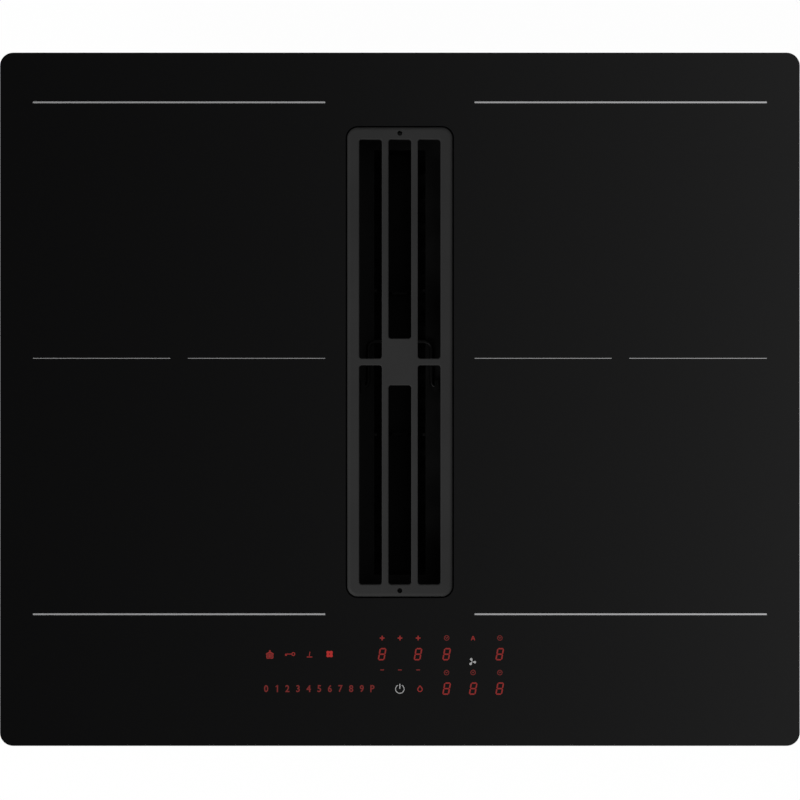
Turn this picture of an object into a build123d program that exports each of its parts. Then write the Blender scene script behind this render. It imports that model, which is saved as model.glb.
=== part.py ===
from build123d import *
import os
from math import cos, exp, log, radians, sin, sqrt, tan

# Downdraft induction cooktop: a ceramic-glass hob with a vent down its middle. Below the glass
# hang the induction generators in a steel pan, the grease filter and drip tray in an inlet
# chamber, and a centrifugal blower that pushes the air out through a flat duct at the back.
#
# Millimetres. +X is the user's right, +Y the back, +Z up. x = y = 0 is the middle of the glass and
# z = 0 the flat underside of the inlet chamber and the blower.

# ---------------------------------------------------------------- driving dimensions
# Glass top
GLASS_W = 600.0
GLASS_D = 520.0
GLASS_T = 4.0
GLASS_R = 10.0
GLASS_BEVEL = 0.8
BUILT_IN_DEPTH = 206.0

# Vent opening in the glass
VENT_W = 81.0
VENT_FRONT = 111.0
VENT_REAR = 55.0
VENT_R = 9.0

# Foam seal under the rim of the glass
SEAL_T = 2.0
SEAL_W = 10.0
SEAL_INSET = 3.0

# Grille
GRILLE_GAP = 1.0
GRILLE_T = 11.0
GRILLE_PROUD = 1.0
GRILLE_EDGE = 3.0
GRILLE_EDGE_SLOPE = 2.0
SLOT_W = 17.0
SLOT_R = 2.0
BAR_W = 5.0
END_BAR = 9.0
WEB_L = 5.0
BRIDGE_L = 35.0
LIFT_HOLE_R = 1.8
LIFT_HOLE_SIDES = 8
LIFT_HOLE_INSET = 4.5
PAD_T = 2.0
PAD_W = 3.0
PAD_L = 20.0
PAD_INSET = 0.5
PAD_END_GAP = 26.0

# Inlet frame: the moulded collar under the vent, with a ledge for the grille and one for the filter
GASKET_T = 1.0
FRAME_WALL = 2.0
FRAME_FLANGE = 14.0
FRAME_FLANGE_T = 2.5
LEDGE_T = 2.5
GRILLE_LEDGE = 5.0
THROAT_R = 5.0
FILTER_DROP = 48.0
FILTER_LEDGE = 5.0
FRAME_SKIRT = 3.0

# Steel pan
PAN_SIDE_INSET = 27.0
PAN_END_INSET = 22.0
PAN_H = 60.0
PAN_T = 1.0
PAN_R = 8.0
PAN_FLANGE = 5.0
PAN_CLEAR = 1.0

# Worktop clips
CLIP_W = 22.0
CLIP_T = 1.0
CLIP_L = 38.0
CLIP_BULGE = 6.0
CLIP_DROP = 12.0
CLIP_SPAN = 300.0

# Inlet chamber
CHAMBER_GAP = 3.5
CHAMBER_WALL = 2.5
CHAMBER_R = 14.0
CHAMBER_FLANGE = 10.0
CHAMBER_RIB = 3.0
CHAMBER_RIB_T = 2.0
CHAMBER_RIB_PITCH = 60.0
CHAMBER_RIBS = 5

# Drip tray
TRAY_CLEAR = 1.5
TRAY_H = 30.0
TRAY_TAPER = 6.0
TRAY_WALL = 1.5
TRAY_LIP = 1.5
TRAY_R = 6.0
TRAY_FIN_L = 30.0
TRAY_FIN_T = 2.0
TRAY_FIN_H = 36.0
TRAY_FIN_HOLE_R = 6.0
TRAY_FIN_HOLE_SIDES = 8

# Grease filter
RIM_CLEAR = 0.5
RIM_LAP = 2.0
RIM_T = 3.0
FILTER_CLEAR = 1.0
FILTER_DEPTH = 106.0
FILTER_FOOT_W = 32.0
FILTER_END_T = 2.0
MESH_DEPTH = 8.0
MESH_T = 1.5
PLEATS = 17
GUTTER_H = 12.0
GUTTER_T = 1.5
MULLION_T = 2.0
MULLION_W = 4.0
MULLION_PITCH = 110.0
MULLIONS = 2

# Lifting bail of the filter
BAIL_T = 3.0
BAIL_BAR = 4.0
BAIL_W = 44.0
BAIL_L = 36.0
BAIL_R = 6.0
PIVOT_R = 1.5
PIVOT_PLAY = 0.05
PIVOT_L = 4.0
LUG_T = 3.0
LUG_L = 9.0
LUG_RISE = 3.0
LUG_GAP = 0.5

# Blower
BLOWER_X = 146.0
BLOWER_Y = -20.0
IMPELLER_R = 80.0
IMPELLER_EYE_R = 64.0
IMPELLER_H = 65.0
IMPELLER_LIFT = 7.5
IMPELLER_PLATE = 2.0
SHROUD_T = 3.0
BLADES = 26
BLADE_T = 1.4
BLADE_SWEEP = 72.0
VOLUTE_H = 90.0
VOLUTE_WALL = 2.5
TONGUE_ANGLE = 100.0
TONGUE_GAP = 8.0
TONGUE_NOSE = 3.0
SCROLL_END_R = 117.5
SCROLL_CHORDS = 22
DIFFUSER_REAR = 205.0
DIFFUSER_NECK = 20.0
EYE_R = 60.0
BELL_DEPTH = 12.0
BELL_SLOPE = 45.0
BELL_WALL = 2.0
BELL_REACH = 2.0
BOSS_R = 4.5
BOSS_SIDES = 8
BOSS_OUT = 3.0
BOSS_ANGLES = [245, 285, 325]
BOSS_SHARE = 0.7

# Outlet spigot for flat duct
SPIGOT_W = 222.0
SPIGOT_H = 89.0
SPIGOT_L = 33.0
SPIGOT_WALL = 2.5
SPIGOT_LEAD = 1.2
SPIGOT_FLANGE = 3.0
SPIGOT_FLANGE_T = 3.0

# Suction plenum between the chamber and the blower's eye
PLENUM_R = 90.0
PLENUM_SIDES = 32
PLENUM_WALL = 2.5
PLENUM_EYE_CLEAR = 1.0
PLENUM_POST_R = 6.0
PLENUM_POST_H = 6.0
POST_SIDES = 6

# Blower motor, inside the impeller
SHAFT_R = 3.0
SHAFT_PLAY = 0.02
MOUNT_R = 40.0
MOUNT_SIDES = 6
MOUNT_T = 2.5
MOUNT_TUBE_R = 11.0
MOUNT_TUBE_SIDES = 9
MOUNT_TUBE_H = 41.0
STATOR_R = 38.0
STATOR_H = 20.0
STATOR_LIFT = 11.0
POLES = 9
POLE_W = 7.0
POLE_SHOE = 3.0
POLE_FACE = 20.0
YOKE_R = 17.0
WINDING_T = 3.0
WINDING_GAP = 2.0
ROTOR_PLAY = 1.0
MAGNET_T = 3.5
CAN_T = 2.5
CAN_TOP_GAP = 5.0

# Coils under the four cooking zones
COIL_FRAME_GAP = 8.0
COIL_PAN_GAP = 3.5
COIL_REAR_GAP = 19.3
COIL_FRONT_GAP = 2.3
COIL_GAP = 10.0
COIL_R = 50.0
COIL_T = 6.5
COIL_HOLE_W = 56.0
COIL_HOLE_D = 40.0
COIL_HOLE_R = 14.0
MAT_T = 2.0
FORMER_T = 4.0
FERRITE_T = 4.0
FERRITE_W = 14.0
FERRITE_L = 56.0
FERRITE_RING = 58.0
FERRITES = 6
SENSOR_R = 7.0
SENSOR_SIDES = 6
CARRIER_T = 1.5
CARRIER_HOLE_R = 24.0
CARRIER_HOLE_SIDES = 12
LEG_W = 20.0
LEG_FOOT = 7.0
LEG_INSET = 4.0
SPRING_R = 3.5
SPRING_WIRE = 1.2
SPRING_H = 9.0
SPRING_SIDES = 4

# Induction generators in the pan
BOARD_GAP = 10.0
CONTROL_BAY = 83.0
BOARD_TRAY_T = 1.5
BOARD_TRAY_H = 9.0
STANDOFF_H = 6.0
STANDOFF_R = 3.0
STANDOFF_SIDES = 4
BOARD_T = 1.6
BOARD_INSET = 4.0
SINK_W = 70.0
SINK_FRONT_ROOM = 129.0
SINK_H = 25.0
SINK_BASE = 4.0
FIN_T = 1.5
FINS = 9
CHOKE_R = 16.0
CHOKE_HOLE_R = 7.0
CHOKE_SIDES = 12
CHOKE_FRONT_GAP = 59.0
FAN_R = 46.0
FAN_SIDES = 16
FAN_H = 30.0
FAN_WALL = 1.5
FAN_OUTLET_W = 60.0
FAN_OUTLET_L = 54.0
FAN_INTAKE_R = 33.0
FAN_ROTOR_R = 38.0
FAN_BLADE_IN = 24.0
FAN_BLADES = 10
FAN_BLADE_T = 1.2
FAN_HUB_R = 12.0
FAN_PIN_R = 1.5
FAN_GAP = 1.5
FAN_BOSS_R = 6.0
FAN_BOSS_H = 7.5
FAN_BOSS_SIDES = 6
FAN_BLADE_LEAN = 30.0
GRID_SLOT_W = 5.0
GRID_PITCH = 12.0
GRID_SLOTS = 5
EXHAUST_SLOT_W = 4.0
EXHAUST_SLOT_H = 26.0
EXHAUST_PITCH = 15.0
EXHAUST_SLOTS = 7

# Touch controls under the front of the glass
CONTROL_W = 224.0
CONTROL_D = 54.0
CONTROL_INSET = 55.0
CONTROL_DROP = 8.0
BRACKET_T = 2.0
BRACKET_RIM = 4.0
DIGIT_W = 10.0
DIGIT_D = 14.0
DIGIT_GAP = 0.3
DIGIT_ROWS = [
    (13.8, [-13.3, 13.6, 35.1, 74.9]),
    (-12.0, [35.1, 55.0, 74.9]),
]

# Mains connection under the back left of the pan
TERMINAL_W = 80.0
TERMINAL_D = 68.0
TERMINAL_H = 30.0
TERMINAL_T = 2.0
TERMINAL_SIDE_INSET = 50.0
TERMINAL_REAR_INSET = 47.0
BLOCK_W = 62.0
BLOCK_D = 22.0
BLOCK_H = 18.0
WAYS = 5
WAY_R = 3.0
WAY_SIDES = 4
GLAND_BORE_R = 5.5
GLAND_R = 9.0
GLAND_SIDES = 12
GLAND_NUT = 24.0
GLAND_NUT_T = 5.0
GLAND_L = 24.0

# Blower control box
DRIVE_X = -165.0
DRIVE_Y = 10.0
DRIVE_W = 110.0
DRIVE_D = 76.0
DRIVE_H = 34.0
DRIVE_R = 4.0
DRIVE_EAR = 12.0
DRIVE_EAR_T = 2.5

# Rounded corners out of sight are drawn with this many chords each
CORNER_CHORDS = 2

# ---------------------------------------------------------------- levels and shared sizes
vent_l = GLASS_D - VENT_FRONT - VENT_REAR
vent_y = (VENT_FRONT - VENT_REAR) / 2
pan_w = GLASS_W - 2 * PAN_SIDE_INSET
pan_d = GLASS_D - 2 * PAN_END_INSET
glass_bottom = BUILT_IN_DEPTH
glass_face = glass_bottom + GLASS_T
grille_bottom = glass_face + GRILLE_PROUD - GRILLE_T
grille_seat = grille_bottom - PAD_T
filter_seat = grille_seat - FILTER_DROP
pan_bottom = glass_bottom - PAN_H
pan_floor = pan_bottom + PAN_T
pan_half_w = pan_w / 2 - PAN_T
pan_half_d = pan_d / 2 - PAN_T

throat_w = VENT_W - 2 * GRILLE_LEDGE
throat_l = vent_l - 2 * GRILLE_LEDGE
frame_w = throat_w + 2 * FRAME_WALL
frame_l = throat_l + 2 * FRAME_WALL
filter_hole_w = throat_w - 2 * FILTER_LEDGE
filter_hole_l = throat_l - 2 * FILTER_LEDGE
chamber_in_w = frame_w + 2 * CHAMBER_GAP
chamber_in_l = frame_l + 2 * CHAMBER_GAP
chamber_w = chamber_in_w + 2 * CHAMBER_WALL
chamber_l = chamber_in_l + 2 * CHAMBER_WALL

cover_bottom = VOLUTE_H - VOLUTE_WALL
plenum_floor = VOLUTE_H + PLENUM_WALL
plenum_top = pan_bottom - PLENUM_POST_H
plenum_h = plenum_top - VOLUTE_H
plenum_in_r = PLENUM_R - PLENUM_WALL
plenum_in_h = plenum_h - 2 * PLENUM_WALL


def save(piece, name):
    """Label a finished piece and write its STEP file."""
    piece.part.label = name
    export_step(piece.part, f"parts/{name}.step")


def other_side(piece):
    """The mirror image of a piece, on the user's left."""
    with BuildPart() as twin:
        mirror(piece.part, about=Plane.YZ)
    return twin


def eased_plate(width, depth, radius, mode=Mode.ADD):
    """A rectangle in the open sketch, each corner eased by the chords of a quarter circle."""
    corners = []
    for quarter in range(4):
        middle = radians(90 * quarter + 45)
        centre_x = (width / 2 - radius) * cos(middle) / abs(cos(middle))
        centre_y = (depth / 2 - radius) * sin(middle) / abs(sin(middle))
        for chord in range(CORNER_CHORDS + 1):
            angle = radians(90 * quarter + 90 * chord / CORNER_CHORDS)
            corners.append((centre_x + radius * cos(angle), centre_y + radius * sin(angle)))
    Polygon(*corners, align=None, mode=mode)


def vent_plate(width, length, radius, mode=Mode.ADD):
    """An eased rectangle centred on the vent, in the open sketch."""
    with Locations((0, vent_y)):
        eased_plate(width, length, radius, mode)


os.makedirs("parts", exist_ok=True)

# ---------------------------------------------------------------- glass top
with BuildPart() as glass_top:
    with BuildSketch(Plane.XY.offset(glass_bottom)):
        RectangleRounded(GLASS_W, GLASS_D, GLASS_R)
        with Locations((0, vent_y)):
            RectangleRounded(VENT_W, vent_l, VENT_R, mode=Mode.SUBTRACT)
    extrude(amount=GLASS_T)
    chamfer(glass_top.faces().sort_by(Axis.Z)[-1].outer_wire().edges(), GLASS_BEVEL)
save(glass_top, "glass_top")

with BuildPart() as worktop_seal:
    with BuildSketch(Plane.XY.offset(glass_bottom - SEAL_T)):
        seal_w = GLASS_W - 2 * SEAL_INSET
        seal_d = GLASS_D - 2 * SEAL_INSET
        Rectangle(seal_w, seal_d)
        Rectangle(seal_w - 2 * SEAL_W, seal_d - 2 * SEAL_W, mode=Mode.SUBTRACT)
    extrude(amount=SEAL_T)
save(worktop_seal, "worktop_seal")

# ---------------------------------------------------------------- grille
grille_w = VENT_W - 2 * GRILLE_GAP
grille_l = vent_l - 2 * GRILLE_GAP
slot_span = grille_l - 2 * END_BAR
with BuildPart() as grille:
    with BuildSketch(Plane.XY.offset(grille_bottom)):
        with Locations((0, vent_y)):
            RectangleRounded(grille_w, grille_l, VENT_R - GRILLE_GAP)
    extrude(amount=GRILLE_T)
    chamfer(grille.faces().sort_by(Axis.Z)[-1].edges(), GRILLE_EDGE, GRILLE_EDGE_SLOPE)
    with BuildSketch(Plane.XY.offset(grille_bottom)):
        for column, bridge in ((-1, WEB_L), (0, BRIDGE_L), (1, WEB_L)):
            slot_l = (slot_span - bridge) / 2
            slot_x = column * (SLOT_W + BAR_W)
            for end in (-1, 1):
                with Locations((slot_x, vent_y + end * (bridge + slot_l) / 2)):
                    eased_plate(SLOT_W, slot_l, SLOT_R)
        for end in (-1, 1):
            with Locations((0, vent_y + end * (grille_l / 2 - LIFT_HOLE_INSET))):
                RegularPolygon(LIFT_HOLE_R, LIFT_HOLE_SIDES, major_radius=False)
    extrude(amount=GRILLE_T, mode=Mode.SUBTRACT)
save(grille, "grille")

with BuildPart() as grille_pads:
    with BuildSketch(Plane.XY.offset(grille_seat)):
        pad_x = grille_w / 2 - PAD_INSET - PAD_W / 2
        with Locations((0, vent_y)):
            with GridLocations(2 * pad_x, grille_l - 2 * PAD_END_GAP, 2, 2):
                Rectangle(PAD_W, PAD_L)
    extrude(amount=PAD_T)
save(grille_pads, "grille_pads")

# ---------------------------------------------------------------- inlet frame and its gasket
flange_w = VENT_W + 2 * FRAME_FLANGE
flange_l = vent_l + 2 * FRAME_FLANGE
flange_r = VENT_R + FRAME_FLANGE
gasket_bottom = glass_bottom - GASKET_T
ledge_bottom = grille_seat - LEDGE_T
frame_bottom = pan_bottom - FRAME_SKIRT
with BuildPart() as inlet_frame:
    with BuildSketch(Plane.XY.offset(gasket_bottom - FRAME_FLANGE_T)):
        vent_plate(flange_w, flange_l, flange_r)
        vent_plate(VENT_W, vent_l, VENT_R, Mode.SUBTRACT)
    extrude(amount=FRAME_FLANGE_T)
    with BuildSketch(Plane.XY.offset(ledge_bottom)):
        vent_plate(VENT_W + 2 * FRAME_WALL, vent_l + 2 * FRAME_WALL, VENT_R + FRAME_WALL)
        vent_plate(VENT_W, vent_l, VENT_R, Mode.SUBTRACT)
    extrude(amount=gasket_bottom - ledge_bottom)
    with BuildSketch(Plane.XY.offset(ledge_bottom)):
        vent_plate(VENT_W + FRAME_WALL, vent_l + FRAME_WALL, VENT_R + FRAME_WALL / 2)
        vent_plate(throat_w, throat_l, THROAT_R, Mode.SUBTRACT)
    extrude(amount=LEDGE_T)
    with BuildSketch(Plane.XY.offset(frame_bottom)):
        vent_plate(frame_w, frame_l, THROAT_R + FRAME_WALL)
        vent_plate(throat_w, throat_l, THROAT_R, Mode.SUBTRACT)
    extrude(amount=grille_seat - frame_bottom)
    with BuildSketch(Plane.XY.offset(filter_seat - LEDGE_T)):
        vent_plate(throat_w + FRAME_WALL, throat_l + FRAME_WALL, THROAT_R + FRAME_WALL / 2)
        with Locations((0, vent_y)):
            Rectangle(filter_hole_w, filter_hole_l, mode=Mode.SUBTRACT)
    extrude(amount=LEDGE_T)
save(inlet_frame, "inlet_frame")

with BuildPart() as inlet_gasket:
    with BuildSketch(Plane.XY.offset(gasket_bottom)):
        vent_plate(flange_w - FRAME_WALL, flange_l - FRAME_WALL, flange_r - FRAME_WALL / 2)
        vent_plate(VENT_W + FRAME_WALL, vent_l + FRAME_WALL, VENT_R + FRAME_WALL / 2, Mode.SUBTRACT)
    extrude(amount=GASKET_T)
save(inlet_gasket, "inlet_gasket")

# ---------------------------------------------------------------- places in the pan, right side
tray_right = pan_half_w - BOARD_GAP
tray_left = chamber_w / 2 + 2 * BOARD_GAP + BOARD_INSET
tray_front = CONTROL_BAY - pan_half_d
tray_rear = pan_half_d - BOARD_GAP
fan_x = tray_right - FAN_R
fan_y = tray_rear - FAN_R
pocket_left = fan_x - FAN_R - BOARD_INSET
pocket_front = fan_y - FAN_OUTLET_L - BOARD_INSET

coil_left = flange_w / 2 + COIL_FRAME_GAP
coil_w = pan_half_w - COIL_PAN_GAP - coil_left
zone_x = coil_left + coil_w / 2
coil_rear = pan_half_d - COIL_REAR_GAP
coil_front = tray_front - COIL_FRONT_GAP
coil_d = (coil_rear - coil_front - COIL_GAP) / 2
zone_y = (coil_rear + coil_front) / 2
zone_pitch = coil_d + COIL_GAP

# ---------------------------------------------------------------- steel pan
with BuildPart() as base_pan:
    with BuildSketch(Plane.XY.offset(pan_bottom)):
        eased_plate(pan_w, pan_d, PAN_R)
    extrude(amount=PAN_H)
    with BuildSketch(Plane.XY.offset(pan_floor)):
        eased_plate(2 * pan_half_w, 2 * pan_half_d, PAN_R - PAN_T)
    extrude(amount=PAN_H, mode=Mode.SUBTRACT)
    with BuildSketch(Plane.XY.offset(glass_bottom - PAN_T)):
        eased_plate(pan_w + 2 * PAN_FLANGE, pan_d + 2 * PAN_FLANGE, PAN_R + PAN_FLANGE)
        eased_plate(2 * pan_half_w, 2 * pan_half_d, PAN_R - PAN_T, Mode.SUBTRACT)
    extrude(amount=PAN_T)
    with BuildSketch(Plane.XY.offset(pan_bottom)):
        vent_plate(frame_w + 2 * PAN_CLEAR, frame_l + 2 * PAN_CLEAR, THROAT_R + FRAME_WALL)
        for side in (-1, 1):
            for slot in range(GRID_SLOTS):
                across = (slot - (GRID_SLOTS - 1) / 2) * GRID_PITCH
                length = 2 * sqrt(FAN_INTAKE_R**2 - across**2)
                with Locations((side * fan_x + across, fan_y)):
                    Rectangle(GRID_SLOT_W, length)
    extrude(amount=PAN_T, mode=Mode.SUBTRACT)
    with BuildSketch(Plane.XZ.offset(pan_d / 2)):
        with Locations((-zone_x, pan_bottom + PAN_H / 2), (zone_x, pan_bottom + PAN_H / 2)):
            with GridLocations(EXHAUST_PITCH, 1, EXHAUST_SLOTS, 1):
                Rectangle(EXHAUST_SLOT_W, EXHAUST_SLOT_H)
    extrude(amount=-PAN_T, mode=Mode.SUBTRACT)
save(base_pan, "base_pan")

# ---------------------------------------------------------------- worktop clips
clip_top = glass_bottom - CLIP_DROP
clip_foot = clip_top - CLIP_L


def clip_edge(offset):
    """Side view of one face of the bent strip, `offset` outside the pan's wall."""
    wall = pan_w / 2 + offset
    return [
        (wall, clip_top),
        (wall, clip_top - CLIP_L / 3),
        (wall + CLIP_BULGE - CLIP_T, clip_top - 2 * CLIP_L / 3),
        (wall + CLIP_T, clip_foot),
    ]


with BuildPart() as worktop_clips:
    for clip_y in (-CLIP_SPAN / 2, CLIP_SPAN / 2):
        with BuildSketch(Plane.XZ.offset(-clip_y)):
            Polygon(*clip_edge(0), *reversed(clip_edge(CLIP_T)), align=None)
        extrude(amount=CLIP_W / 2, both=True)
    mirror(about=Plane.YZ)
save(worktop_clips, "worktop_clips")

# ---------------------------------------------------------------- inlet chamber
with BuildPart() as inlet_chamber:
    with BuildSketch():
        vent_plate(chamber_w, chamber_l, CHAMBER_R)
    extrude(amount=pan_bottom)
    with BuildSketch(Plane.XY.offset(pan_bottom - CHAMBER_WALL)):
        vent_plate(chamber_w + 2 * CHAMBER_FLANGE, chamber_l + 2 * CHAMBER_FLANGE, CHAMBER_R)
    extrude(amount=CHAMBER_WALL)
    rib_h = pan_bottom - 2 * CHAMBER_WALL
    with BuildSketch(Plane.XY.offset(CHAMBER_WALL)):
        with Locations((-chamber_w / 2, vent_y)):
            with GridLocations(1, CHAMBER_RIB_PITCH, 1, CHAMBER_RIBS):
                Rectangle(2 * CHAMBER_RIB, CHAMBER_RIB_T)
    extrude(amount=rib_h)
    with BuildSketch(Plane.XY.offset(CHAMBER_WALL)):
        vent_plate(chamber_in_w, chamber_in_l, CHAMBER_R - CHAMBER_WALL)
    extrude(amount=pan_bottom, mode=Mode.SUBTRACT)
    with BuildSketch(Plane.YZ.offset(chamber_w / 2)):
        with Locations((BLOWER_Y, (plenum_floor + plenum_top - PLENUM_WALL) / 2)):
            Rectangle(2 * plenum_in_r, plenum_in_h)
    extrude(amount=-CHAMBER_WALL, mode=Mode.SUBTRACT)
save(inlet_chamber, "inlet_chamber")

# ---------------------------------------------------------------- drip tray
tray_rim_w = filter_hole_w - 2 * TRAY_CLEAR
tray_rim_l = filter_hole_l - 2 * TRAY_CLEAR
tray_draft = 2 * TRAY_H * tan(radians(TRAY_TAPER))
tray_foot_w = tray_rim_w - 2 * TRAY_LIP - tray_draft
tray_foot_l = tray_rim_l - 2 * TRAY_LIP - tray_draft
tray_floor = CHAMBER_WALL + TRAY_WALL
with BuildPart() as drip_tray:
    with BuildSketch(Plane.XY.offset(CHAMBER_WALL)):
        vent_plate(tray_foot_w, tray_foot_l, TRAY_R)
    extrude(amount=TRAY_H, taper=-TRAY_TAPER)
    with BuildSketch(Plane.XY.offset(CHAMBER_WALL + TRAY_H - TRAY_WALL)):
        vent_plate(tray_rim_w, tray_rim_l, TRAY_R + TRAY_LIP)
    extrude(amount=TRAY_WALL)
    with BuildSketch(Plane.XY.offset(tray_floor)):
        vent_plate(tray_foot_w - 2 * TRAY_WALL, tray_foot_l - 2 * TRAY_WALL, TRAY_R - TRAY_WALL)
    extrude(amount=TRAY_H, taper=-TRAY_TAPER, mode=Mode.SUBTRACT)
    with BuildSketch(Plane.YZ):
        with Locations((vent_y, tray_floor)):
            Rectangle(TRAY_FIN_L, TRAY_FIN_H, align=(Align.CENTER, Align.MIN))
        with Locations((vent_y, tray_floor + TRAY_FIN_H - 2 * TRAY_FIN_HOLE_R)):
            RegularPolygon(TRAY_FIN_HOLE_R, TRAY_FIN_HOLE_SIDES, mode=Mode.SUBTRACT)
    extrude(amount=TRAY_FIN_T / 2, both=True)
save(drip_tray, "drip_tray")

# ---------------------------------------------------------------- grease filter
filter_bottom = filter_seat - FILTER_DEPTH
trough_w = filter_hole_w - 2 * FILTER_CLEAR
trough_l = filter_hole_l - 2 * FILTER_CLEAR
trough_slope = (trough_w - FILTER_FOOT_W) / 2 / FILTER_DEPTH
gutter_top = filter_bottom + GUTTER_H
rim_in_w = trough_w - 2 * (MESH_DEPTH + RIM_LAP)
rim_in_l = trough_l - 4 * FILTER_END_T
bail_z = filter_seat + RIM_T + LUG_RISE
bail_y = vent_y - BAIL_L / 2
lug_x = BAIL_W / 2 + BAIL_BAR + LUG_GAP + LUG_T / 2


def trough_section(low, high, inset=0.0):
    """Cross-section of the tapering trough between two levels, drawn `inset` inside it."""
    half_low = FILTER_FOOT_W / 2 + trough_slope * (low - filter_bottom) - inset
    half_high = FILTER_FOOT_W / 2 + trough_slope * (high - filter_bottom) - inset
    return Polygon(
        (-half_low, low),
        (half_low, low),
        (half_high, high),
        (-half_high, high),
        align=None,
        mode=Mode.PRIVATE,
    )


with BuildPart() as filter_frame:
    with BuildSketch(Plane.XY.offset(filter_seat)):
        vent_plate(throat_w - 2 * RIM_CLEAR, throat_l - 2 * RIM_CLEAR, THROAT_R - RIM_CLEAR)
        with Locations((0, vent_y)):
            Rectangle(rim_in_w, rim_in_l, mode=Mode.SUBTRACT)
    extrude(amount=RIM_T)
    for end in (-1, 1):
        end_y = vent_y + end * (trough_l - FILTER_END_T) / 2
        with BuildSketch(Plane.XZ.offset(-end_y)):
            add(trough_section(filter_bottom, filter_seat))
        extrude(amount=FILTER_END_T / 2, both=True)
    with BuildSketch(Plane.XZ.offset(-vent_y)):
        add(trough_section(filter_bottom, gutter_top))
        add(trough_section(filter_bottom + GUTTER_T, gutter_top, GUTTER_T), mode=Mode.SUBTRACT)
    extrude(amount=trough_l / 2, both=True)
    for mullion in range(MULLIONS):
        mullion_y = vent_y + (mullion - (MULLIONS - 1) / 2) * MULLION_PITCH
        with BuildSketch(Plane.XZ.offset(-mullion_y)):
            add(trough_section(gutter_top - GUTTER_T, filter_seat, MESH_DEPTH))
            add(
                trough_section(gutter_top + MULLION_W, filter_seat, MESH_DEPTH + MULLION_W),
                mode=Mode.SUBTRACT,
            )
        extrude(amount=MULLION_T / 2, both=True)
        with BuildSketch(Plane.XZ.offset(-mullion_y)):
            add(trough_section(filter_bottom, gutter_top, GUTTER_T / 2))
        extrude(amount=MULLION_T / 2, both=True)
    for side in (-1, 1):
        with BuildSketch(Plane.YZ.offset(side * lug_x)):
            with Locations((bail_y, filter_seat + RIM_T)):
                Rectangle(LUG_L, 2 * LUG_RISE, align=(Align.CENTER, Align.MIN))
            with Locations((bail_y, bail_z)):
                Circle(PIVOT_R + PIVOT_PLAY, mode=Mode.SUBTRACT)
        extrude(amount=LUG_T / 2, both=True)
save(filter_frame, "filter_frame")

# One side of the filter: a folded mesh panel, standing on the gutter and leaning out to the rim.
panel_l = trough_l - 2 * FILTER_END_T
pleat = panel_l / (2 * PLEATS)
panel_foot = FILTER_FOOT_W / 2 + trough_slope * GUTTER_H
panel_plane = Plane(
    origin=(panel_foot, vent_y, gutter_top),
    x_dir=(0, 1, 0),
    z_dir=(trough_slope, 0, 1),
)
folds = [(-panel_l / 2 + i * pleat, (i % 2) * (MESH_DEPTH - MESH_T)) for i in range(2 * PLEATS + 1)]
back_folds = [(along, depth + MESH_T) for along, depth in reversed(folds)]
with BuildPart() as filter_mesh_right:
    with BuildSketch(panel_plane):
        Polygon(*folds, *back_folds, align=None)
    extrude(amount=FILTER_DEPTH, both=True)
    with BuildSketch(Plane.XY.offset(gutter_top)):
        vent_plate(throat_w, throat_l, THROAT_R)
    extrude(amount=filter_seat - gutter_top, mode=Mode.INTERSECT)
save(filter_mesh_right, "filter_mesh_right")
save(other_side(filter_mesh_right), "filter_mesh_left")

bail_out_w = BAIL_W + 2 * BAIL_BAR
with BuildPart() as filter_handle:
    with BuildSketch(Plane.XY.offset(bail_z - BAIL_T / 2)) as bail:
        with Locations((0, bail_y - BAIL_T / 2)):
            Rectangle(bail_out_w, BAIL_L + BAIL_T / 2, align=(Align.CENTER, Align.MIN))
        chamfer(bail.vertices().group_by(Axis.Y)[-1], BAIL_R)
        with Locations((0, bail_y - BAIL_T / 2)):
            bail_in = BAIL_L + BAIL_T / 2 - BAIL_BAR
            Rectangle(BAIL_W, bail_in, align=(Align.CENTER, Align.MIN), mode=Mode.SUBTRACT)
    extrude(amount=BAIL_T)
    for side in (-1, 1):
        with BuildSketch(Plane.YZ.offset(side * bail_out_w / 2)):
            with Locations((bail_y, bail_z)):
                Circle(PIVOT_R)
        extrude(amount=side * PIVOT_L)
save(filter_handle, "filter_handle")

# ---------------------------------------------------------------- blower housing
tongue_r = IMPELLER_R + TONGUE_GAP
scroll_rate = log(SCROLL_END_R / tongue_r) / (360 - TONGUE_ANGLE)
scroll_right = BLOWER_X + SCROLL_END_R
spigot_x = scroll_right + VOLUTE_WALL - SPIGOT_W / 2
scroll_left = spigot_x - SPIGOT_W / 2 + VOLUTE_WALL


def scroll_point(angle, grow=0.0):
    """A point of the scroll wall: its radius grows at an even rate from the tongue round to +X."""
    radius = tongue_r * exp(scroll_rate * (angle - TONGUE_ANGLE)) + grow
    return (BLOWER_X + radius * cos(radians(angle)), BLOWER_Y + radius * sin(radians(angle)))


tongue = Vector(*scroll_point(TONGUE_ANGLE))
shoulder = Vector(scroll_left, DIFFUSER_REAR - DIFFUSER_NECK)
flare = (tongue - shoulder).normalized()
flare_out = Vector(flare.Y, -flare.X)


def flare_point(share, grow=0.0):
    """A point of the diffuser's slanted wall, from the shoulder (0) to the tongue (1)."""
    return shoulder + (tongue - shoulder) * share + flare_out * grow


def draw_scroll(grow, rear):
    """The air path seen from above, grown by a wall and cut off at y = rear."""
    chord = (360 - TONGUE_ANGLE) / SCROLL_CHORDS
    wall = [scroll_point(TONGUE_ANGLE + i * chord, grow) for i in range(SCROLL_CHORDS + 1)]
    Polygon(*wall, align=None)
    grown = flare_point(0, grow)
    corner = grown + flare * ((scroll_left - grow - grown.X) / flare.X)
    Polygon(
        (BLOWER_X, BLOWER_Y),
        (scroll_right + grow, BLOWER_Y),
        (scroll_right + grow, rear),
        (scroll_left - grow, rear),
        (corner.X, corner.Y),
        (flare_point(1, grow).X, flare_point(1, grow).Y),
        align=None,
    )


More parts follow.
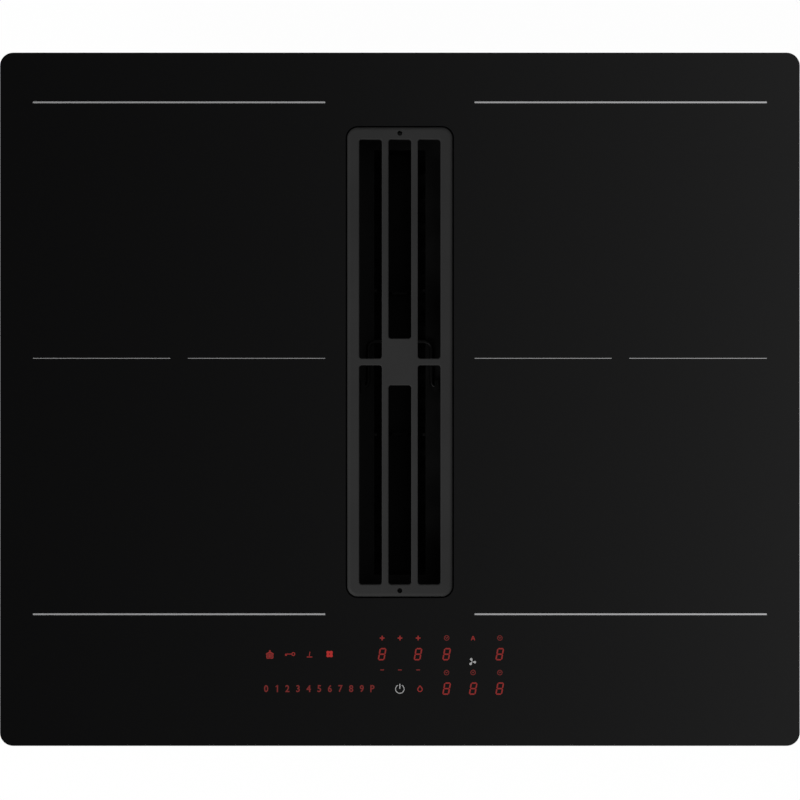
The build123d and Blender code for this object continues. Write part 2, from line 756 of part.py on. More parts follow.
boss_out = VOLUTE_WALL + BOSS_OUT
boss_spots = [scroll_point(angle, boss_out) for angle in BOSS_ANGLES]
boss_spots += [(scroll_right + boss_out, BLOWER_Y + IMPELLER_R)]
flare_boss = flare_point(BOSS_SHARE, boss_out)
boss_spots += [(flare_boss.X, flare_boss.Y)]

with BuildPart() as volute_lower:
    with BuildSketch():
        draw_scroll(VOLUTE_WALL, DIFFUSER_REAR)
        with Locations(*boss_spots):
            RegularPolygon(BOSS_R, BOSS_SIDES)
    extrude(amount=cover_bottom)
    with BuildSketch(Plane.XY.offset(VOLUTE_WALL)):
        draw_scroll(0, DIFFUSER_REAR + VOLUTE_WALL)
    extrude(amount=VOLUTE_H, mode=Mode.SUBTRACT)
    nose = volute_lower.edges().filter_by(Axis.Z).sort_by_distance((tongue.X, tongue.Y, VOLUTE_H / 2))[0]
    fillet(nose, TONGUE_NOSE)
save(volute_lower, "volute_lower")

impeller_bottom = VOLUTE_WALL + IMPELLER_LIFT
impeller_top = impeller_bottom + IMPELLER_H
bell_r = EYE_R + BELL_DEPTH * tan(radians(BELL_SLOPE))
bell_throat = VOLUTE_H - BELL_DEPTH
bell_lip = impeller_top - BELL_REACH
blower_floor = Plane((BLOWER_X, BLOWER_Y, 0))

with BuildPart() as volute_cover:
    with BuildSketch(Plane.XY.offset(cover_bottom)):
        draw_scroll(VOLUTE_WALL, DIFFUSER_REAR)
        with Locations(*boss_spots):
            RegularPolygon(BOSS_R, BOSS_SIDES)
    extrude(amount=VOLUTE_WALL)
    for wall, mode in ((BELL_WALL, Mode.ADD), (0, Mode.SUBTRACT)):
        with BuildSketch(blower_floor.offset(VOLUTE_H)):
            RegularPolygon(bell_r + wall, BLADES, major_radius=False)
        extrude(amount=bell_throat - VOLUTE_H, taper=BELL_SLOPE, mode=mode)
        with BuildSketch(blower_floor.offset(bell_throat)):
            RegularPolygon(EYE_R + wall, BLADES, major_radius=False)
        extrude(amount=bell_lip - bell_throat, mode=mode)
save(volute_cover, "volute_cover")

with BuildPart() as outlet_spigot:
    with BuildSketch(Plane.XZ.offset(-DIFFUSER_REAR)):
        with Locations((spigot_x, VOLUTE_H / 2)):
            Rectangle(SPIGOT_W + 2 * SPIGOT_FLANGE, VOLUTE_H)
    extrude(amount=-SPIGOT_FLANGE_T)
    with BuildSketch(Plane.XZ.offset(-DIFFUSER_REAR - SPIGOT_FLANGE_T)):
        with Locations((spigot_x, VOLUTE_H / 2)):
            Rectangle(SPIGOT_W, SPIGOT_H)
    extrude(amount=-SPIGOT_L)
    chamfer(outlet_spigot.faces().sort_by(Axis.Y)[-1].edges(), SPIGOT_LEAD)
    with BuildSketch(Plane.XZ.offset(-DIFFUSER_REAR)):
        with Locations((spigot_x, VOLUTE_H / 2)):
            Rectangle(SPIGOT_W - 2 * SPIGOT_WALL, SPIGOT_H - 2 * SPIGOT_WALL)
    extrude(amount=-SPIGOT_FLANGE_T - SPIGOT_L, mode=Mode.SUBTRACT)
save(outlet_spigot, "outlet_spigot")

# ---------------------------------------------------------------- suction plenum
plenum_left = chamber_w / 2
post_spots = [
    (BLOWER_X - PLENUM_R / 2, BLOWER_Y - PLENUM_R / 2),
    (BLOWER_X - PLENUM_R / 2, BLOWER_Y + PLENUM_R / 2),
    (BLOWER_X + PLENUM_R / 2, BLOWER_Y),
]


def draw_plenum(radius, left):
    """The duct seen from above: straight out of the chamber, then round the blower's eye."""
    with Locations((BLOWER_X, BLOWER_Y)):
        RegularPolygon(radius, PLENUM_SIDES, major_radius=False)
    with Locations((left, BLOWER_Y)):
        Rectangle(BLOWER_X - left, 2 * radius, align=(Align.MIN, Align.CENTER))


with BuildPart() as suction_plenum:
    with BuildSketch(Plane.XY.offset(VOLUTE_H)):
        draw_plenum(PLENUM_R, plenum_left)
    extrude(amount=plenum_h)
    with BuildSketch(Plane.XY.offset(plenum_floor)):
        draw_plenum(plenum_in_r, plenum_left - PLENUM_WALL)
    extrude(amount=plenum_in_h, mode=Mode.SUBTRACT)
    with BuildSketch(Plane.XY.offset(VOLUTE_H)):
        with Locations((BLOWER_X, BLOWER_Y)):
            RegularPolygon(bell_r + BELL_WALL + PLENUM_EYE_CLEAR, BLADES)
    extrude(amount=PLENUM_WALL, mode=Mode.SUBTRACT)
    with BuildSketch(Plane.XY.offset(plenum_top)):
        with Locations(*post_spots):
            RegularPolygon(PLENUM_POST_R, POST_SIDES)
    extrude(amount=PLENUM_POST_H)
save(suction_plenum, "suction_plenum")

# ---------------------------------------------------------------- impeller
blade_turn = radians(BLADE_SWEEP)
blade_rise = 1 - cos(blade_turn)
blade_reach = IMPELLER_EYE_R * sin(blade_turn)
blade_span = IMPELLER_R**2 - IMPELLER_EYE_R**2
blade_arc = (sqrt(blade_reach**2 + 2 * blade_rise * blade_span) - blade_reach) / (2 * blade_rise)
blade_bottom = impeller_bottom + IMPELLER_PLATE
shroud_bottom = impeller_top - SHROUD_T
can_in_r = STATOR_R + ROTOR_PLAY
can_r = can_in_r + MAGNET_T + CAN_T


def blade_flank(radius):
    """One face of a blade, in two chords: it leaves the eye at a right angle and leans into the turn."""
    angles = [blade_turn * chord / 2 for chord in range(3)]
    return [(IMPELLER_EYE_R + radius * sin(a), blade_arc - radius * cos(a)) for a in angles]


with BuildPart() as impeller:
    with BuildSketch(blower_floor.offset(impeller_bottom)):
        RegularPolygon(IMPELLER_R, 2 * BLADES)
        RegularPolygon(can_r, BLADES, mode=Mode.SUBTRACT)
    extrude(amount=IMPELLER_PLATE)
    with BuildSketch(blower_floor.offset(shroud_bottom)):
        RegularPolygon(IMPELLER_R, 2 * BLADES)
        RegularPolygon(IMPELLER_EYE_R, 2 * BLADES, mode=Mode.SUBTRACT)
    extrude(amount=SHROUD_T)
    with BuildSketch(blower_floor.offset(blade_bottom)):
        with PolarLocations(0, BLADES):
            half_t = BLADE_T / 2
            Polygon(*blade_flank(blade_arc - half_t), *reversed(blade_flank(blade_arc + half_t)), align=None)
    extrude(amount=shroud_bottom - blade_bottom)
save(impeller, "impeller")

# ---------------------------------------------------------------- blower motor
mount_top = VOLUTE_WALL + MOUNT_TUBE_H
stator_bottom = VOLUTE_WALL + MOUNT_T + STATOR_LIFT
stator_top = stator_bottom + STATOR_H
can_top = mount_top + CAN_TOP_GAP + CAN_T
mount_floor = blower_floor.offset(VOLUTE_WALL)

with BuildPart() as motor_mount:
    with BuildSketch(mount_floor):
        RegularPolygon(MOUNT_R, MOUNT_SIDES)
    extrude(amount=MOUNT_T)
    with BuildSketch(mount_floor):
        RegularPolygon(MOUNT_TUBE_R, MOUNT_TUBE_SIDES)
    extrude(amount=MOUNT_TUBE_H)
    with BuildSketch(mount_floor):
        Circle(SHAFT_R + SHAFT_PLAY)
    extrude(amount=MOUNT_TUBE_H, mode=Mode.SUBTRACT)
save(motor_mount, "motor_mount")

tooth_l = STATOR_R - POLE_SHOE - YOKE_R
with BuildPart() as motor_stator:
    with BuildSketch(blower_floor.offset(stator_bottom)):
        RegularPolygon(YOKE_R, POLES)
        with PolarLocations(YOKE_R + tooth_l / 2, POLES):
            Rectangle(tooth_l + 2 * POLE_SHOE, POLE_W)
        with PolarLocations(STATOR_R - POLE_SHOE, POLES):
            Rectangle(POLE_SHOE, POLE_FACE)
        RegularPolygon(MOUNT_TUBE_R, MOUNT_TUBE_SIDES, mode=Mode.SUBTRACT)
    extrude(amount=STATOR_H)
save(motor_stator, "motor_stator")

winding_l = tooth_l - 2 * WINDING_GAP
with BuildPart() as motor_windings:
    with BuildSketch(blower_floor.offset(stator_bottom - WINDING_T)):
        with PolarLocations(YOKE_R + tooth_l / 2, POLES):
            Rectangle(winding_l, POLE_W + WINDING_T)
    extrude(amount=STATOR_H + 2 * WINDING_T)
    with BuildSketch(blower_floor.offset(stator_bottom)):
        with PolarLocations(YOKE_R + tooth_l / 2, POLES):
            Rectangle(winding_l, POLE_W)
    extrude(amount=STATOR_H, mode=Mode.SUBTRACT)
save(motor_windings, "motor_windings")

with BuildPart() as motor_rotor:
    with BuildSketch(blower_floor.offset(impeller_bottom)):
        RegularPolygon(can_r, BLADES)
    extrude(amount=can_top - impeller_bottom)
    with BuildSketch(blower_floor.offset(impeller_bottom)):
        RegularPolygon(can_in_r, BLADES)
    extrude(amount=can_top - CAN_T - impeller_bottom, mode=Mode.SUBTRACT)
    with BuildSketch(blower_floor.offset(impeller_bottom)):
        Circle(SHAFT_R)
    extrude(amount=can_top - impeller_bottom, mode=Mode.SUBTRACT)
save(motor_rotor, "motor_rotor")

with BuildPart() as motor_shaft:
    with BuildSketch(mount_floor):
        Circle(SHAFT_R)
    extrude(amount=can_top - VOLUTE_WALL)
save(motor_shaft, "motor_shaft")

# ---------------------------------------------------------------- coils and their carriers
mat_bottom = glass_bottom - MAT_T
coil_bottom = mat_bottom - COIL_T
former_bottom = coil_bottom - FORMER_T
ferrite_bottom = former_bottom - FERRITE_T
carrier_bottom = ferrite_bottom - CARRIER_T
coil_spots = {
    "left_rear": (-zone_x, zone_y + zone_pitch / 2),
    "left_front": (-zone_x, zone_y - zone_pitch / 2),
    "right_rear": (zone_x, zone_y + zone_pitch / 2),
    "right_front": (zone_x, zone_y - zone_pitch / 2),
}

for place, spot in coil_spots.items():
    with BuildPart() as coil:
        with BuildSketch(Plane.XY.offset(coil_bottom)):
            with Locations(spot):
                eased_plate(coil_w, coil_d, COIL_R)
                eased_plate(COIL_HOLE_W, COIL_HOLE_D, COIL_HOLE_R, Mode.SUBTRACT)
        extrude(amount=COIL_T)
    save(coil, f"coil_{place}")

with BuildPart() as insulation_mats:
    with BuildSketch(Plane.XY.offset(mat_bottom)):
        with Locations(*coil_spots.values()):
            eased_plate(coil_w, coil_d, COIL_R)
    extrude(amount=MAT_T)
save(insulation_mats, "insulation_mats")

with BuildPart() as coil_formers:
    with BuildSketch(Plane.XY.offset(former_bottom)):
        with Locations(*coil_spots.values()):
            eased_plate(coil_w, coil_d, COIL_R)
    extrude(amount=FORMER_T)
save(coil_formers, "coil_formers")

with BuildPart() as ferrite_bars:
    with BuildSketch(Plane.XY.offset(ferrite_bottom)):
        with Locations(*coil_spots.values()):
            with PolarLocations(FERRITE_RING, FERRITES, start_angle=180 / FERRITES):
                Rectangle(FERRITE_L, FERRITE_W)
    extrude(amount=FERRITE_T)
save(ferrite_bars, "ferrite_bars")

with BuildPart() as temperature_sensors:
    with BuildSketch(Plane.XY.offset(coil_bottom)):
        with Locations(*coil_spots.values()):
            RegularPolygon(SENSOR_R, SENSOR_SIDES)
    extrude(amount=COIL_T)
save(temperature_sensors, "temperature_sensors")

carrier_rear = tray_rear + BOARD_INSET
carrier_front = tray_front - BOARD_INSET
leg_x = coil_w / 2 - LEG_INSET - LEG_W / 2
foot_bottom = pan_floor + SPRING_H
with BuildPart() as coil_carrier_right:
    with BuildSketch(Plane.XY.offset(carrier_bottom)):
        with Locations((zone_x, (carrier_rear + carrier_front) / 2)):
            Rectangle(coil_w, carrier_rear - carrier_front)
        with Locations(coil_spots["right_rear"], coil_spots["right_front"]):
            RegularPolygon(CARRIER_HOLE_R, CARRIER_HOLE_SIDES, mode=Mode.SUBTRACT)
    extrude(amount=CARRIER_T)
    for leg_y, outwards in ((carrier_rear, -1), (carrier_front, 1)):
        with BuildSketch(Plane.XY.offset(foot_bottom)):
            with Locations((zone_x, leg_y + outwards * CARRIER_T / 2)):
                with GridLocations(2 * leg_x, 1, 2, 1):
                    Rectangle(LEG_W, CARRIER_T)
        extrude(amount=carrier_bottom - foot_bottom)
        with BuildSketch(Plane.XY.offset(foot_bottom)):
            with Locations((zone_x, leg_y - outwards * LEG_FOOT / 2 + outwards * CARRIER_T)):
                with GridLocations(2 * leg_x, 1, 2, 1):
                    Rectangle(LEG_W, LEG_FOOT)
        extrude(amount=CARRIER_T)
save(coil_carrier_right, "coil_carrier_right")
save(other_side(coil_carrier_right), "coil_carrier_left")

with BuildPart() as carrier_springs:
    with BuildSketch(Plane.XY.offset(pan_floor)):
        for leg_y in (carrier_rear + LEG_FOOT / 2 - CARRIER_T, carrier_front - LEG_FOOT / 2 + CARRIER_T):
            for side in (-1, 1):
                with Locations((side * zone_x, leg_y)):
                    with GridLocations(2 * leg_x, 1, 2, 1):
                        RegularPolygon(SPRING_R, SPRING_SIDES)
                        RegularPolygon(SPRING_R - SPRING_WIRE, SPRING_SIDES, mode=Mode.SUBTRACT)
    extrude(amount=SPRING_H)
save(carrier_springs, "carrier_springs")

# ---------------------------------------------------------------- generators, boards and fans
board_bottom = pan_floor + BOARD_TRAY_T + STANDOFF_H
board_face = board_bottom + BOARD_T
tray_outline = [
    (tray_left, tray_front),
    (tray_right, tray_front),
    (tray_right, pocket_front),
    (pocket_left, pocket_front),
    (pocket_left, tray_rear),
    (tray_left, tray_rear),
]
power_w = tray_right - tray_left - 2 * BOARD_INSET
power_d = pocket_front - tray_front - 2 * BOARD_INSET
power_spot = ((tray_right + tray_left) / 2, (pocket_front + tray_front) / 2)
small_w = pocket_left - tray_left - 2 * BOARD_INSET
small_d = tray_rear - pocket_front - 2 * BOARD_INSET
small_spot = ((pocket_left + tray_left) / 2, (tray_rear + pocket_front) / 2)

with BuildPart() as board_tray_right:
    with BuildSketch(Plane.XY.offset(pan_floor)):
        Polygon(*tray_outline, align=None)
    extrude(amount=BOARD_TRAY_H)
    with BuildSketch(Plane.XY.offset(pan_floor + BOARD_TRAY_T)):
        Polygon(*tray_outline, align=None)
        offset(amount=-BOARD_TRAY_T, kind=Kind.INTERSECTION, mode=Mode.REPLACE)
    extrude(amount=BOARD_TRAY_H, mode=Mode.SUBTRACT)
    with BuildSketch(Plane.XY.offset(pan_floor + BOARD_TRAY_T)):
        for spot, width, depth in ((power_spot, power_w, power_d), (small_spot, small_w, small_d)):
            with Locations(spot):
                with GridLocations(width - 4 * STANDOFF_R, depth - 4 * STANDOFF_R, 2, 2):
                    RegularPolygon(STANDOFF_R, STANDOFF_SIDES)
    extrude(amount=STANDOFF_H)
save(board_tray_right, "board_tray_right")
save(other_side(board_tray_right), "board_tray_left")

sink_length = power_d - SINK_FRONT_ROOM
sink_x = tray_right - BOARD_INSET - SINK_W / 2 - BOARD_INSET
sink_y = pocket_front - BOARD_INSET - sink_length / 2 - BOARD_INSET
choke_y = tray_front + CHOKE_FRONT_GAP
fin_pitch = (SINK_W - FIN_T) / (FINS - 1)
parts_x = (sink_x - SINK_W / 2 + tray_left + BOARD_INSET) / 2
with BuildPart() as power_board_right:
    with BuildSketch(Plane.XY.offset(board_bottom)):
        with Locations(power_spot):
            Rectangle(power_w, power_d)
    extrude(amount=BOARD_T)
    with BuildSketch(Plane.XY.offset(board_face)):
        with Locations((parts_x, sink_y)):
            with GridLocations(1, sink_length / 3, 1, 3):
                Rectangle(SINK_W, sink_length / 5)
        with Locations((parts_x, choke_y)):
            RegularPolygon(CHOKE_R, CHOKE_SIDES)
            RegularPolygon(CHOKE_HOLE_R, CHOKE_SIDES, mode=Mode.SUBTRACT)
        with Locations((sink_x, choke_y)):
            with GridLocations(SINK_W / 2, sink_length / 4, 2, 2):
                Rectangle(SINK_W / 3, sink_length / 6)
    extrude(amount=SINK_H - SINK_BASE)
save(power_board_right, "power_board_right")
save(other_side(power_board_right), "power_board_left")

with BuildPart() as heat_sink_right:
    with BuildSketch(Plane.XZ.offset(-sink_y)):
        with Locations((sink_x, board_face)):
            Rectangle(SINK_W, SINK_BASE, align=(Align.CENTER, Align.MIN))
            with GridLocations(fin_pitch, 1, FINS, 1):
                Rectangle(FIN_T, SINK_H, align=(Align.CENTER, Align.MIN))
    extrude(amount=sink_length / 2, both=True)
save(heat_sink_right, "heat_sink_right")
save(other_side(heat_sink_right), "heat_sink_left")

# The small boards: the mains filter on the left, the auxiliary supply on the right.
with BuildPart() as supply_board:
    with BuildSketch(Plane.XY.offset(board_bottom)):
        with Locations(small_spot):
            Rectangle(small_w, small_d)
    extrude(amount=BOARD_T)
    with BuildSketch(Plane.XY.offset(board_face)):
        with Locations(small_spot):
            with GridLocations(small_w / 2, small_d / 3, 2, 2):
                Rectangle(small_w / 3, small_d / 5)
    extrude(amount=SINK_H / 2)
save(supply_board, "supply_board")

with BuildPart() as mains_filter_board:
    with BuildSketch(Plane.XY.offset(board_bottom)):
        with Locations((-small_spot[0], small_spot[1])):
            Rectangle(small_w, small_d)
    extrude(amount=BOARD_T)
    with BuildSketch(Plane.XY.offset(board_face)):
        with Locations((-small_spot[0], small_spot[1] + small_d / 4)):
            RegularPolygon(CHOKE_R, CHOKE_SIDES)
            RegularPolygon(CHOKE_HOLE_R, CHOKE_SIDES, mode=Mode.SUBTRACT)
        with Locations((-small_spot[0], small_spot[1] - small_d / 5)):
            with GridLocations(small_w / 3, 1, 3, 1):
                Rectangle(small_w / 4, small_d / 4)
    extrude(amount=SINK_H / 2)
save(mains_filter_board, "mains_filter_board")

fan_spot = Plane((fan_x, fan_y, pan_floor))
outlet_x = FAN_OUTLET_W / 2 - FAN_R


def draw_fan(inset, extra):
    """The fan's scroll seen from above, `inset` inside its wall, its outlet `extra` longer."""
    RegularPolygon(FAN_R - inset, FAN_SIDES)
    with Locations((outlet_x, 0)):
        Rectangle(FAN_OUTLET_W - 2 * inset, FAN_OUTLET_L + extra, align=(Align.CENTER, Align.MAX))


with BuildPart() as cooling_fan_housing_right:
    with BuildSketch(fan_spot):
        draw_fan(0, 0)
    extrude(amount=FAN_H)
    with BuildSketch(fan_spot.offset(FAN_WALL)):
        draw_fan(FAN_WALL, FAN_WALL)
    extrude(amount=FAN_H - 2 * FAN_WALL, mode=Mode.SUBTRACT)
    with BuildSketch(fan_spot):
        RegularPolygon(FAN_INTAKE_R, FAN_SIDES)
    extrude(amount=FAN_WALL, mode=Mode.SUBTRACT)
    with BuildSketch(fan_spot.offset(FAN_H - FAN_WALL)):
        RegularPolygon(FAN_BOSS_R, FAN_BOSS_SIDES)
    extrude(amount=-FAN_BOSS_H)
    with BuildSketch(fan_spot.offset(FAN_H - FAN_WALL)):
        Circle(FAN_PIN_R)
    extrude(amount=2 * FAN_WALL + FAN_GAP - FAN_H)
save(cooling_fan_housing_right, "cooling_fan_housing_right")
save(other_side(cooling_fan_housing_right), "cooling_fan_housing_left")

rotor_bottom = FAN_WALL + FAN_GAP
rotor_top = FAN_H - FAN_WALL - FAN_BOSS_H - FAN_GAP
with BuildPart() as cooling_fan_rotor_right:
    with BuildSketch(fan_spot.offset(rotor_bottom)):
        RegularPolygon(FAN_HUB_R, FAN_BLADES)
    extrude(amount=rotor_top - rotor_bottom)
    with BuildSketch(fan_spot.offset(rotor_top)):
        RegularPolygon(FAN_ROTOR_R, 2 * FAN_BLADES)
    extrude(amount=-FAN_WALL)
    with BuildSketch(fan_spot.offset(rotor_bottom)):
        with PolarLocations((FAN_BLADE_IN + FAN_ROTOR_R) / 2, FAN_BLADES):
            Rectangle(FAN_ROTOR_R - FAN_BLADE_IN - FAN_WALL, FAN_BLADE_T, rotation=FAN_BLADE_LEAN)
    extrude(amount=rotor_top - FAN_WALL - rotor_bottom)
    with BuildSketch(fan_spot.offset(rotor_bottom)):
        Circle(FAN_PIN_R + PIVOT_PLAY)
    extrude(amount=rotor_top - rotor_bottom, mode=Mode.SUBTRACT)
save(cooling_fan_rotor_right, "cooling_fan_rotor_right")
save(other_side(cooling_fan_rotor_right), "cooling_fan_rotor_left")

# ---------------------------------------------------------------- touch controls
control_y = CONTROL_INSET - GLASS_D / 2
control_face = glass_bottom - CONTROL_DROP
bracket_bottom = control_face - BOARD_T - BRACKET_T
with BuildPart() as control_bracket:
    with BuildSketch(Plane.XY.offset(bracket_bottom)):
        with Locations((0, control_y)):
            Rectangle(CONTROL_W + 2 * BRACKET_T, CONTROL_D + 2 * BRACKET_T)
    extrude(amount=BRACKET_T + BRACKET_RIM)
    with BuildSketch(Plane.XY.offset(bracket_bottom + BRACKET_T)):
        with Locations((0, control_y)):
            Rectangle(CONTROL_W, CONTROL_D)
    extrude(amount=BRACKET_RIM, mode=Mode.SUBTRACT)
    with BuildSketch(Plane.XY.offset(pan_floor)):
        with Locations((0, control_y)):
            with GridLocations(CONTROL_W, 1, 2, 1):
                Rectangle(BRACKET_T, CONTROL_D)
    extrude(amount=bracket_bottom - pan_floor)
save(control_bracket, "control_bracket")

with BuildPart() as control_board:
    with BuildSketch(Plane.XY.offset(bracket_bottom + BRACKET_T)):
        with Locations((0, control_y)):
            Rectangle(CONTROL_W, CONTROL_D)
    extrude(amount=BOARD_T)
save(control_board, "control_board")

with BuildPart() as display_modules:
    with BuildSketch(Plane.XY.offset(control_face)):
        for row_y, row in DIGIT_ROWS:
            with Locations(*[(digit_x, control_y + row_y) for digit_x in row]):
                Rectangle(DIGIT_W, DIGIT_D)
    extrude(amount=CONTROL_DROP - DIGIT_GAP)
save(display_modules, "display_modules")

# ---------------------------------------------------------------- mains connection
terminal_x = TERMINAL_SIDE_INSET - pan_half_w
terminal_y = pan_half_d - TERMINAL_REAR_INSET
gland_z = pan_bottom - TERMINAL_H / 2
terminal_back = terminal_y + TERMINAL_D / 2
gland_plane = Plane(
    origin=(terminal_x, terminal_back, gland_z),
    x_dir=(1, 0, 0),
    z_dir=(0, 1, 0),
)
with BuildPart() as terminal_cover:
    with BuildSketch(Plane.XY.offset(pan_bottom - TERMINAL_H)):
        with Locations((terminal_x, terminal_y)):
            Rectangle(TERMINAL_W, TERMINAL_D)
    extrude(amount=TERMINAL_H)
    with BuildSketch(Plane.XY.offset(pan_bottom - TERMINAL_H + TERMINAL_T)):
        with Locations((terminal_x, terminal_y)):
            Rectangle(TERMINAL_W - 2 * TERMINAL_T, TERMINAL_D - 2 * TERMINAL_T)
    extrude(amount=TERMINAL_H, mode=Mode.SUBTRACT)
    with BuildSketch(gland_plane):
        RegularPolygon(GLAND_R, GLAND_SIDES)
    extrude(amount=-TERMINAL_T, mode=Mode.SUBTRACT)
save(terminal_cover, "terminal_cover")

with BuildPart() as cable_gland:
    with BuildSketch(gland_plane.offset(GLAND_L / 2 - TERMINAL_T)):
        RegularPolygon(GLAND_R, GLAND_SIDES)
    extrude(amount=-GLAND_L)
    with BuildSketch(gland_plane):
        RegularPolygon(GLAND_NUT / 2, 6, major_radius=False)
    extrude(amount=GLAND_NUT_T)
    with BuildSketch(gland_plane.offset(-TERMINAL_T)):
        RegularPolygon(GLAND_NUT / 2, 6, major_radius=False)
    extrude(amount=-GLAND_NUT_T)
    with BuildSketch(gland_plane.offset(GLAND_L / 2 - TERMINAL_T)):
        Circle(GLAND_BORE_R)
    extrude(amount=-GLAND_L, mode=Mode.SUBTRACT)
save(cable_gland, "cable_gland")

block_y = terminal_y - TERMINAL_D / 2 + TERMINAL_T + BLOCK_D / 2 + TERMINAL_T
with BuildPart() as terminal_block:
    with BuildSketch(Plane.XY.offset(pan_bottom - BLOCK_H)):
        with Locations((terminal_x, block_y)):
            Rectangle(BLOCK_W, BLOCK_D)
            with GridLocations(BLOCK_W / WAYS, 1, WAYS, 1):
                RegularPolygon(WAY_R, WAY_SIDES, mode=Mode.SUBTRACT)
    extrude(amount=BLOCK_H)
save(terminal_block, "terminal_block")

# ---------------------------------------------------------------- blower control box
with BuildPart() as blower_control_box:
    with BuildSketch(Plane.XY.offset(pan_bottom - DRIVE_H)):
        with Locations((DRIVE_X, DRIVE_Y)):
            Rectangle(DRIVE_W, DRIVE_D)
    extrude(amount=DRIVE_H)
    chamfer(blower_control_box.edges().filter_by(Axis.Z), DRIVE_R)
    chamfer(blower_control_box.faces().sort_by(Axis.Z)[0].edges(), DRIVE_R / 2)
    with BuildSketch(Plane.XY.offset(pan_bottom - DRIVE_EAR_T)):
        with Locations((DRIVE_X, DRIVE_Y)):
            Rectangle(DRIVE_W + 2 * DRIVE_EAR, DRIVE_D / 2)
    extrude(amount=DRIVE_EAR_T)
save(blower_control_box, "blower_control_box")
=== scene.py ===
from math import atan2, cos, log, pi, radians, sin, sqrt, tan

import bmesh
import bpy
import numpy as np
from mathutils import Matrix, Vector
from mathutils.geometry import tessellate_polygon


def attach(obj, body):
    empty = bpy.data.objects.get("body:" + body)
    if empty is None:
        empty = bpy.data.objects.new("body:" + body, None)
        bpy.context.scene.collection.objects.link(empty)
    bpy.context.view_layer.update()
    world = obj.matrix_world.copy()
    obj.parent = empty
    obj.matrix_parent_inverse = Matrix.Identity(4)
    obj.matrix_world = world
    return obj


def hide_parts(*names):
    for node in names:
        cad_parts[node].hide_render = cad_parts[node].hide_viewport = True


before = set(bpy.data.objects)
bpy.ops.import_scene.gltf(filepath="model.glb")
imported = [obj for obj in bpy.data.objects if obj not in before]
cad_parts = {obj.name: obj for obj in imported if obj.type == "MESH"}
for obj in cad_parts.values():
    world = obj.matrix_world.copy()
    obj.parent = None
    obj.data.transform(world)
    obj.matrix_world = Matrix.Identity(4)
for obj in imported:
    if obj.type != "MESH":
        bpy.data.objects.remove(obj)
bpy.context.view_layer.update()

# ---------------------------------------------------------------- studio
# The cooktop stands on its inlet chamber on a pale floor and is seen from straight above through a
# long lens. A soft lamp stands in front on the left, a weaker one behind on the right, and the
# ceiling is dark over the left half and paler over the right, which the black glass mirrors.
mm = 0.001
LENS, SENSOR = 200.0, 36.0
VIEW_W = 600.0 * mm
VIEW_X, VIEW_Y = 0.11 * mm, -0.56 * mm
GLASS_FACE = 210.0 * mm
FLOOR_SIZE = 14.0
FLOOR_WHITE = 0.82
FLOOR_GLOW = 0.98
AMBIENT = 0.44
CEILING_TONE, CEILING_RISE, CEILING_LEFT, CEILING_RIGHT = 0.13, 9.6, -0.12, 0.16
OVERHEAD_START, OVERHEAD_END = 0.35, 0.85
KEY_PLACE, KEY_SIZE, KEY_POWER = (-1.5, -1.7, 2.1), 1.4, 78.0
BACK_PLACE, BACK_SIZE, BACK_POWER = (1.9, 1.6, 1.5), 1.6, 6.0


def put(tree, kind, feeds=None, **menus):
    """Adds a node: menus are its own settings, and feeds its inputs by name or number, each a value or
    another node's output."""
    node = tree.nodes.new(kind)
    for label, value in menus.items():
        setattr(node, label, value)
    for label, value in (feeds or {}).items():
        if isinstance(value, bpy.types.NodeSocket):
            tree.links.new(value, node.inputs[label])
        else:
            node.inputs[label].default_value = value
    return node


def calc(tree, operation, first, second=0.0, third=0.0):
    """The output of one Math node."""
    feeds = {0: first, 1: second, 2: third}
    return put(tree, "ShaderNodeMath", feeds, operation=operation).outputs[0]


def ranged(tree, value, start=0.0, end=1.0, low=0.0, high=1.0, **menus):
    """Low to high, as a value goes from start to end."""
    feeds = {0: value, 1: start, 2: end, 3: low, 4: high}
    return put(tree, "ShaderNodeMapRange", feeds, **menus).outputs[0]


def background_ray(tree):
    """1 for rays that should see the white background: from the camera, or mirrored or passed by glass."""
    path = put(tree, "ShaderNodeLightPath").outputs
    seen = calc(tree, "MAXIMUM", path["Is Camera Ray"], path["Is Glossy Ray"])
    return path, calc(tree, "MAXIMUM", seen, path["Is Transmission Ray"])


camera = bpy.data.objects.new("camera", bpy.data.cameras.new("camera"))
camera.data.lens, camera.data.sensor_width = LENS, SENSOR
camera.data.clip_end = 60.0
camera.location = (VIEW_X, VIEW_Y, GLASS_FACE + VIEW_W * LENS / SENSOR)
bpy.context.collection.objects.link(camera)
bpy.context.scene.camera = camera
bpy.context.scene.view_settings.view_transform = "Standard"

for label, place, size, power in (
    ("key_lamp", KEY_PLACE, KEY_SIZE, KEY_POWER),
    ("back_lamp", BACK_PLACE, BACK_SIZE, BACK_POWER),
):
    lamp = bpy.data.objects.new(label, bpy.data.lights.new(label, "AREA"))
    lamp.data.size, lamp.data.energy = size, power
    lamp.location = place
    lamp.rotation_euler = (-Vector(place)).to_track_quat("-Z", "Y").to_euler()
    bpy.context.collection.objects.link(lamp)

